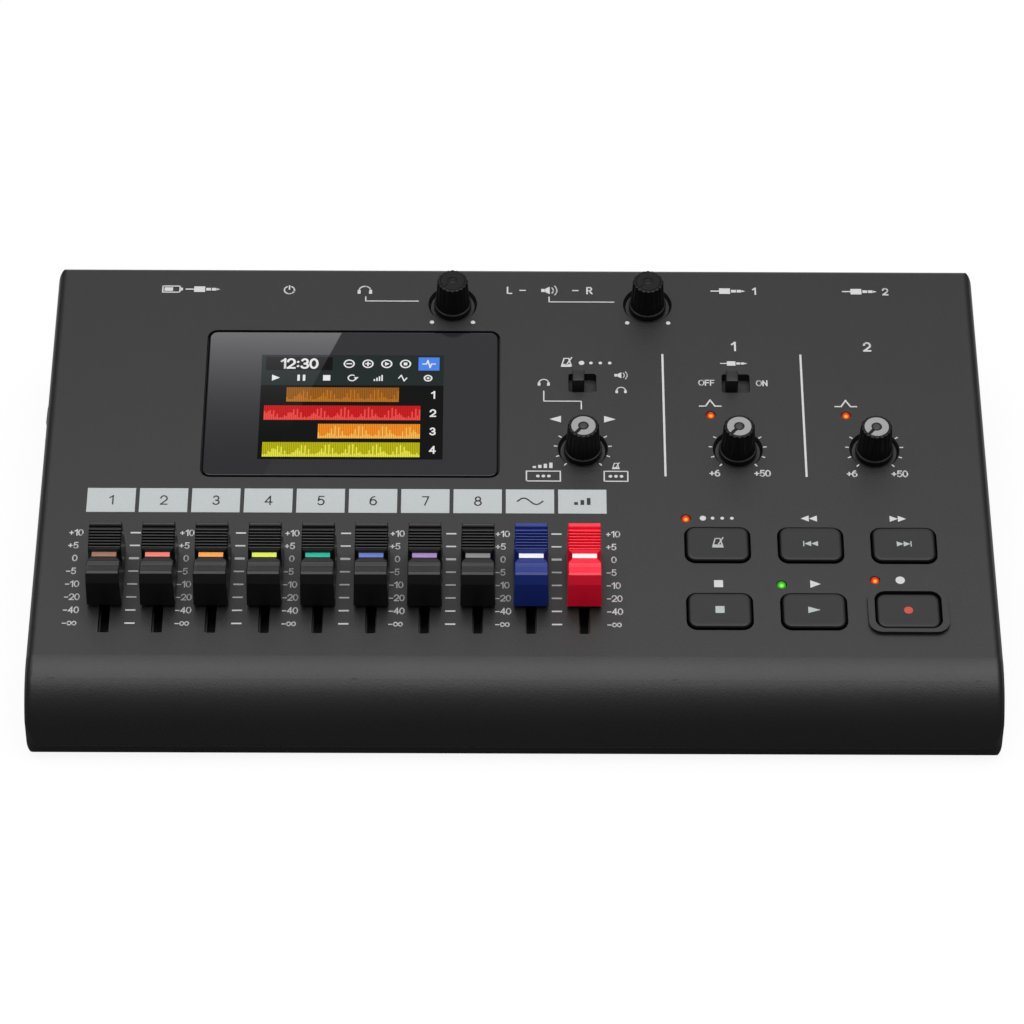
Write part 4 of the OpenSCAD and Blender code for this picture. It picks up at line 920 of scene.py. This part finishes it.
# Slide switches: two black sliders in small openings, for the click route and the first input.
# Moulded plastic, each in one with the thin plate that closes its opening from below.
slider_black = moulded("slider_black", (0.009, 0.009, 0.0095), 0.4, relief=0.1, gloss=0.5)
plate_grey = moulded("cover_plate_grey", (0.038, 0.0375, 0.038), 0.5)
slider_skin = slab(3.3, 4.0, 0.3, [(0, -6.7), (0, 3.08), (0.05, 3.2), (0.14, 3.27), (0.3, 3.3)], 4)
plate_skin = slab(11.14, 7.9, 0.5, [(0, -3.4), (0, -2.85), (0.05, -2.8)], 4)
slider_offset = 1.12
for name, u in (("click", 18.57), ("input", 60.9)):
    seat = panel_seat(u - slider_offset, 42.75)
    body = f"{name}_switch_lever"
    slider = make_piece(f"{name}_slider", *slider_skin, slider_black, body, seat)
    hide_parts(body)
    make_piece(f"{name}_cover_plate", *plate_skin, plate_grey, body, seat)


# Lamps: five small round lenses that light red or green beside the keys and gain knobs.
# Clear tinted plastic with a bright spot where the light sits.
def lens(name, rim, middle, core):
    """Tinted lens, brightest at a spot low in its dome and dark at its rim."""
    finish, shader, place = blank_finish(name)
    inside = place.node("ShaderNodeTexCoord", {}, {}, "Generated")
    spot = (0.5, 0.18, 0.8)
    away = place.node("ShaderNodeVectorMath", {"operation": "DISTANCE"}, {0: inside, 1: spot}, "Value")
    speck = noise(place, 0.0005, 2.0)
    stops = ((0.04, core), (0.24, middle), (0.66, rim))
    glow = place.node("ShaderNodeValToRGB", {"stops": stops}, {"Fac": away + speck * 0.08 - 0.1})
    feed(shader, place, {"Emission Color": glow, "Emission Strength": 0.95})
    feed(shader, place, {"Base Color": shade(rim, 0.4), "Roughness": 0.12, "Specular IOR Level": 0.25})
    return finish


lens_red = lens("lens_red", (0.16, 0.006, 0.002), (0.8, 0.055, 0.003), (1.0, 0.52, 0.06))
lens_green = lens("lens_green", (0.008, 0.1, 0.004), (0.03, 0.6, 0.012), (0.36, 1.0, 0.12))
lamp_body = moulded("lamp_body", (0.05, 0.03, 0.025), 0.3)
lamp_r, lamp_shoulder, dome_h = 1.2, -0.35, 0.85
curve = [(lamp_r * c, lamp_shoulder + dome_h * s) for c, s in arc(0, 0, 1, 12, 84, 6)]
dome = lathe([(lamp_r, -0.9), (lamp_r, lamp_shoulder)] + curve + [(0.02, lamp_shoulder + dome_h)], 28)
stem = lathe([(1.6, -9.0), (1.6, -7.0), (1.19, -7.0), (1.19, -0.92)], 28)
lamp_places = ((46.0, 90.9), (70.95, 113.5), (95.9, 111.9), (53.7, 54.2), (90.8, 54.2))
for k, (u, v) in enumerate(lamp_places, 1):
    seat = panel_seat(u, v)
    lamp = make_piece(f"lamp_{k}_lens", *dome, lens_green if k == 2 else lens_red, "case", seat)
    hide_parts("status_lamps")
    make_piece(f"lamp_{k}_body", *stem, lamp_body, "case", seat)

# Studio: a plain pale floor, a large soft lamp above, and the camera of the photograph.
# The camera sees the floor white. In reflections it carries a painted shadow: it is dim close to the case and
# in front of it.
floor_half = 6
floor_mesh = bpy.data.meshes.new("floor")
floor_edge = bar(-floor_half, -floor_half, floor_half, floor_half)
floor_mesh.from_pydata([(x, y, 0) for x, y in floor_edge], [], [(0, 1, 2, 3)])
floor = new_object("floor", floor_mesh)
floor_white, shader, place = blank_finish("floor_white")
floor_mesh.materials.append(floor_white)
tree = floor_white.node_tree


def sight(place):
    """Wires that are 1 for what the camera sees, itself or through glass, and for reflections."""
    rays = ("Camera", "Transmission", "Glossy")
    camera_ray, clear_ray, glossy_ray = (
        place.node("ShaderNodeLightPath", {}, {}, f"Is {ray} Ray") for ray in rays
    )
    return place.sum("MAXIMUM", camera_ray, clear_ray), glossy_ray


seen, mirrored_ray = sight(place)
feed(shader, place, {"Base Color": mix_colour(seen, (0.1, 0.1, 0.1), (1.0, 1.0, 1.0)), "Roughness": 0.9})
white = seen.node("ShaderNodeEmission", {}, {"Color": (1.0, 1.0, 1.0), "Strength": 1.0})


def clamped(value):
    return value.node("ShaderNodeClamp", {}, {"Value": value})


def axes_of(vector, axes):
    return (vector.node("ShaderNodeSeparateXYZ", {}, {"Vector": vector}, axis) for axis in axes)


# Painted shadow for reflections: the floor goes dim in a box round the case and everywhere in front of it, as
# if the case shaded it.
dim_x_squared, dim_y_squared = 0.0196, 0.0072
aside, away = axes_of(place, "XY")
past_side = clamped((aside * aside - dim_x_squared) * 107.0)
past_end = clamped((away * away - dim_y_squared) * 200.0)
outside_painted_shadow = clamped(past_side + past_end)
unshadowed_in_reflections = clamped(away * 14.0 + 0.9) * outside_painted_shadow
share = seen * 0.9 + mirrored_ray * (unshadowed_in_reflections * 0.87 + 0.005)
blend = seen.node("ShaderNodeMixShader", {}, {0: share, 1: Wire(tree, shader.outputs[0]), 2: white})
tree.links.new(blend.socket, tree.nodes["Material Output"].inputs["Surface"])

world = bpy.data.worlds.new("studio")
bpy.context.scene.world = world
world.use_nodes = True
tree = world.node_tree
sky = tree.nodes["Background"]
seen, mirrored_ray = sight(Wire(tree, None))
toward = seen.node("ShaderNodeTexCoord", {}, {}, "Generated")
aside, depth, height = axes_of(toward, "XYZ")
sky.inputs["Color"].default_value = (1.0, 1.0, 1.0, 1.0)
front = seen.sum("MAXIMUM", depth * -1.0, 0.0) * height * height
rear = clamped(depth * 1.2 + 0.5) * (1 - height)
middle = clamped(1 - aside * aside * 4.0)
glow = height * 0.17 + 0.06 + rear * middle * 1.25
dim = height * 0.2 + 0.1 + front * 2.5 + rear * 0.9
seen.plug(sky.inputs["Strength"], seen + mirrored_ray * glow + (1 - seen - mirrored_ray) * dim)

top_lamp = bpy.data.lights.new("top_lamp", "AREA")
top_lamp.shape = "RECTANGLE"
top_lamp.size, top_lamp.size_y = 1.6, 1.12
top_lamp.energy = 12.8
lamp_holder = new_object("top_lamp", top_lamp)
lamp_holder.location = (0.0, 0.03, 1.3)
lamp_holder.rotation_euler = Vector((0, 0, -1)).to_track_quat("-Z", "Y").to_euler()

camera_distance = 1.224177
aim = Vector((0.0, -0.00225, 0.02))
lift, swing, roll = math.radians(43.462), math.radians(-0.223), math.radians(0.362)
back = Vector((math.sin(swing) * math.cos(lift), -math.cos(swing) * math.cos(lift), math.sin(lift)))
across = (-back).cross(Vector((0, 0, 1))).normalized()
upward = across.cross(-back).normalized()
cam_x = across * math.cos(roll) + upward * math.sin(roll)
cam_y = -across * math.sin(roll) + upward * math.cos(roll)
lens_data = bpy.data.cameras.new("camera")
lens_data.lens = 157.875
lens_data.sensor_width = 36.0
lens_data.shift_x = -0.002747
lens_data.shift_y = -0.006776
lens_data.clip_end = 50.0
camera = new_object("camera", lens_data)
turn = Matrix((cam_x, cam_y, back)).transposed().to_4x4()
camera.matrix_world = Matrix.Translation(aim + back * camera_distance) @ turn
bpy.context.scene.camera = camera
bpy.context.scene.view_settings.view_transform = "Standard"


# Reflection card: a bright sheet above and behind the recorder, mirrored in the left of the window.
# It is seen only in reflections and fades towards the front of the window.
def mirrored(u, v, reach):
    """Point that the camera sees mirrored in the window, reach metres from it."""
    spot = panel @ Vector((u * mm, -v * mm, 0))
    normal = (panel.to_3x3() @ Vector((0, 0, 1))).normalized()
    view = (camera.matrix_world.translation - spot).normalized()
    return spot + (2 * normal.dot(view) * normal - view) * reach


card_mesh = bpy.data.meshes.new("reflection_card")
card_reach = 0.9
card_corners = ((-46.5, 20), (-100, 20), (-100, 82), (-70.5, 82))
card_mesh.from_pydata([mirrored(u, v, card_reach) for u, v in card_corners], [], [(0, 1, 2, 3)])
card = new_object("reflection_card", card_mesh)
card.visible_camera = False
card.visible_diffuse = False
card.visible_shadow = False
card_white, shader, place = blank_finish("card_white")
card_mesh.materials.append(card_white)
along_card = place.node("ShaderNodeTexCoord", {}, {}, "Generated")
(fade,) = axes_of(along_card, "Y")
card_glow = mix_colour(fade * fade * fade, (0.06, 0.06, 0.06), (1.0, 1.0, 1.0))
feed(shader, place, {"Base Color": (0.0, 0.0, 0.0), "Emission Color": card_glow, "Emission Strength": 3.8})
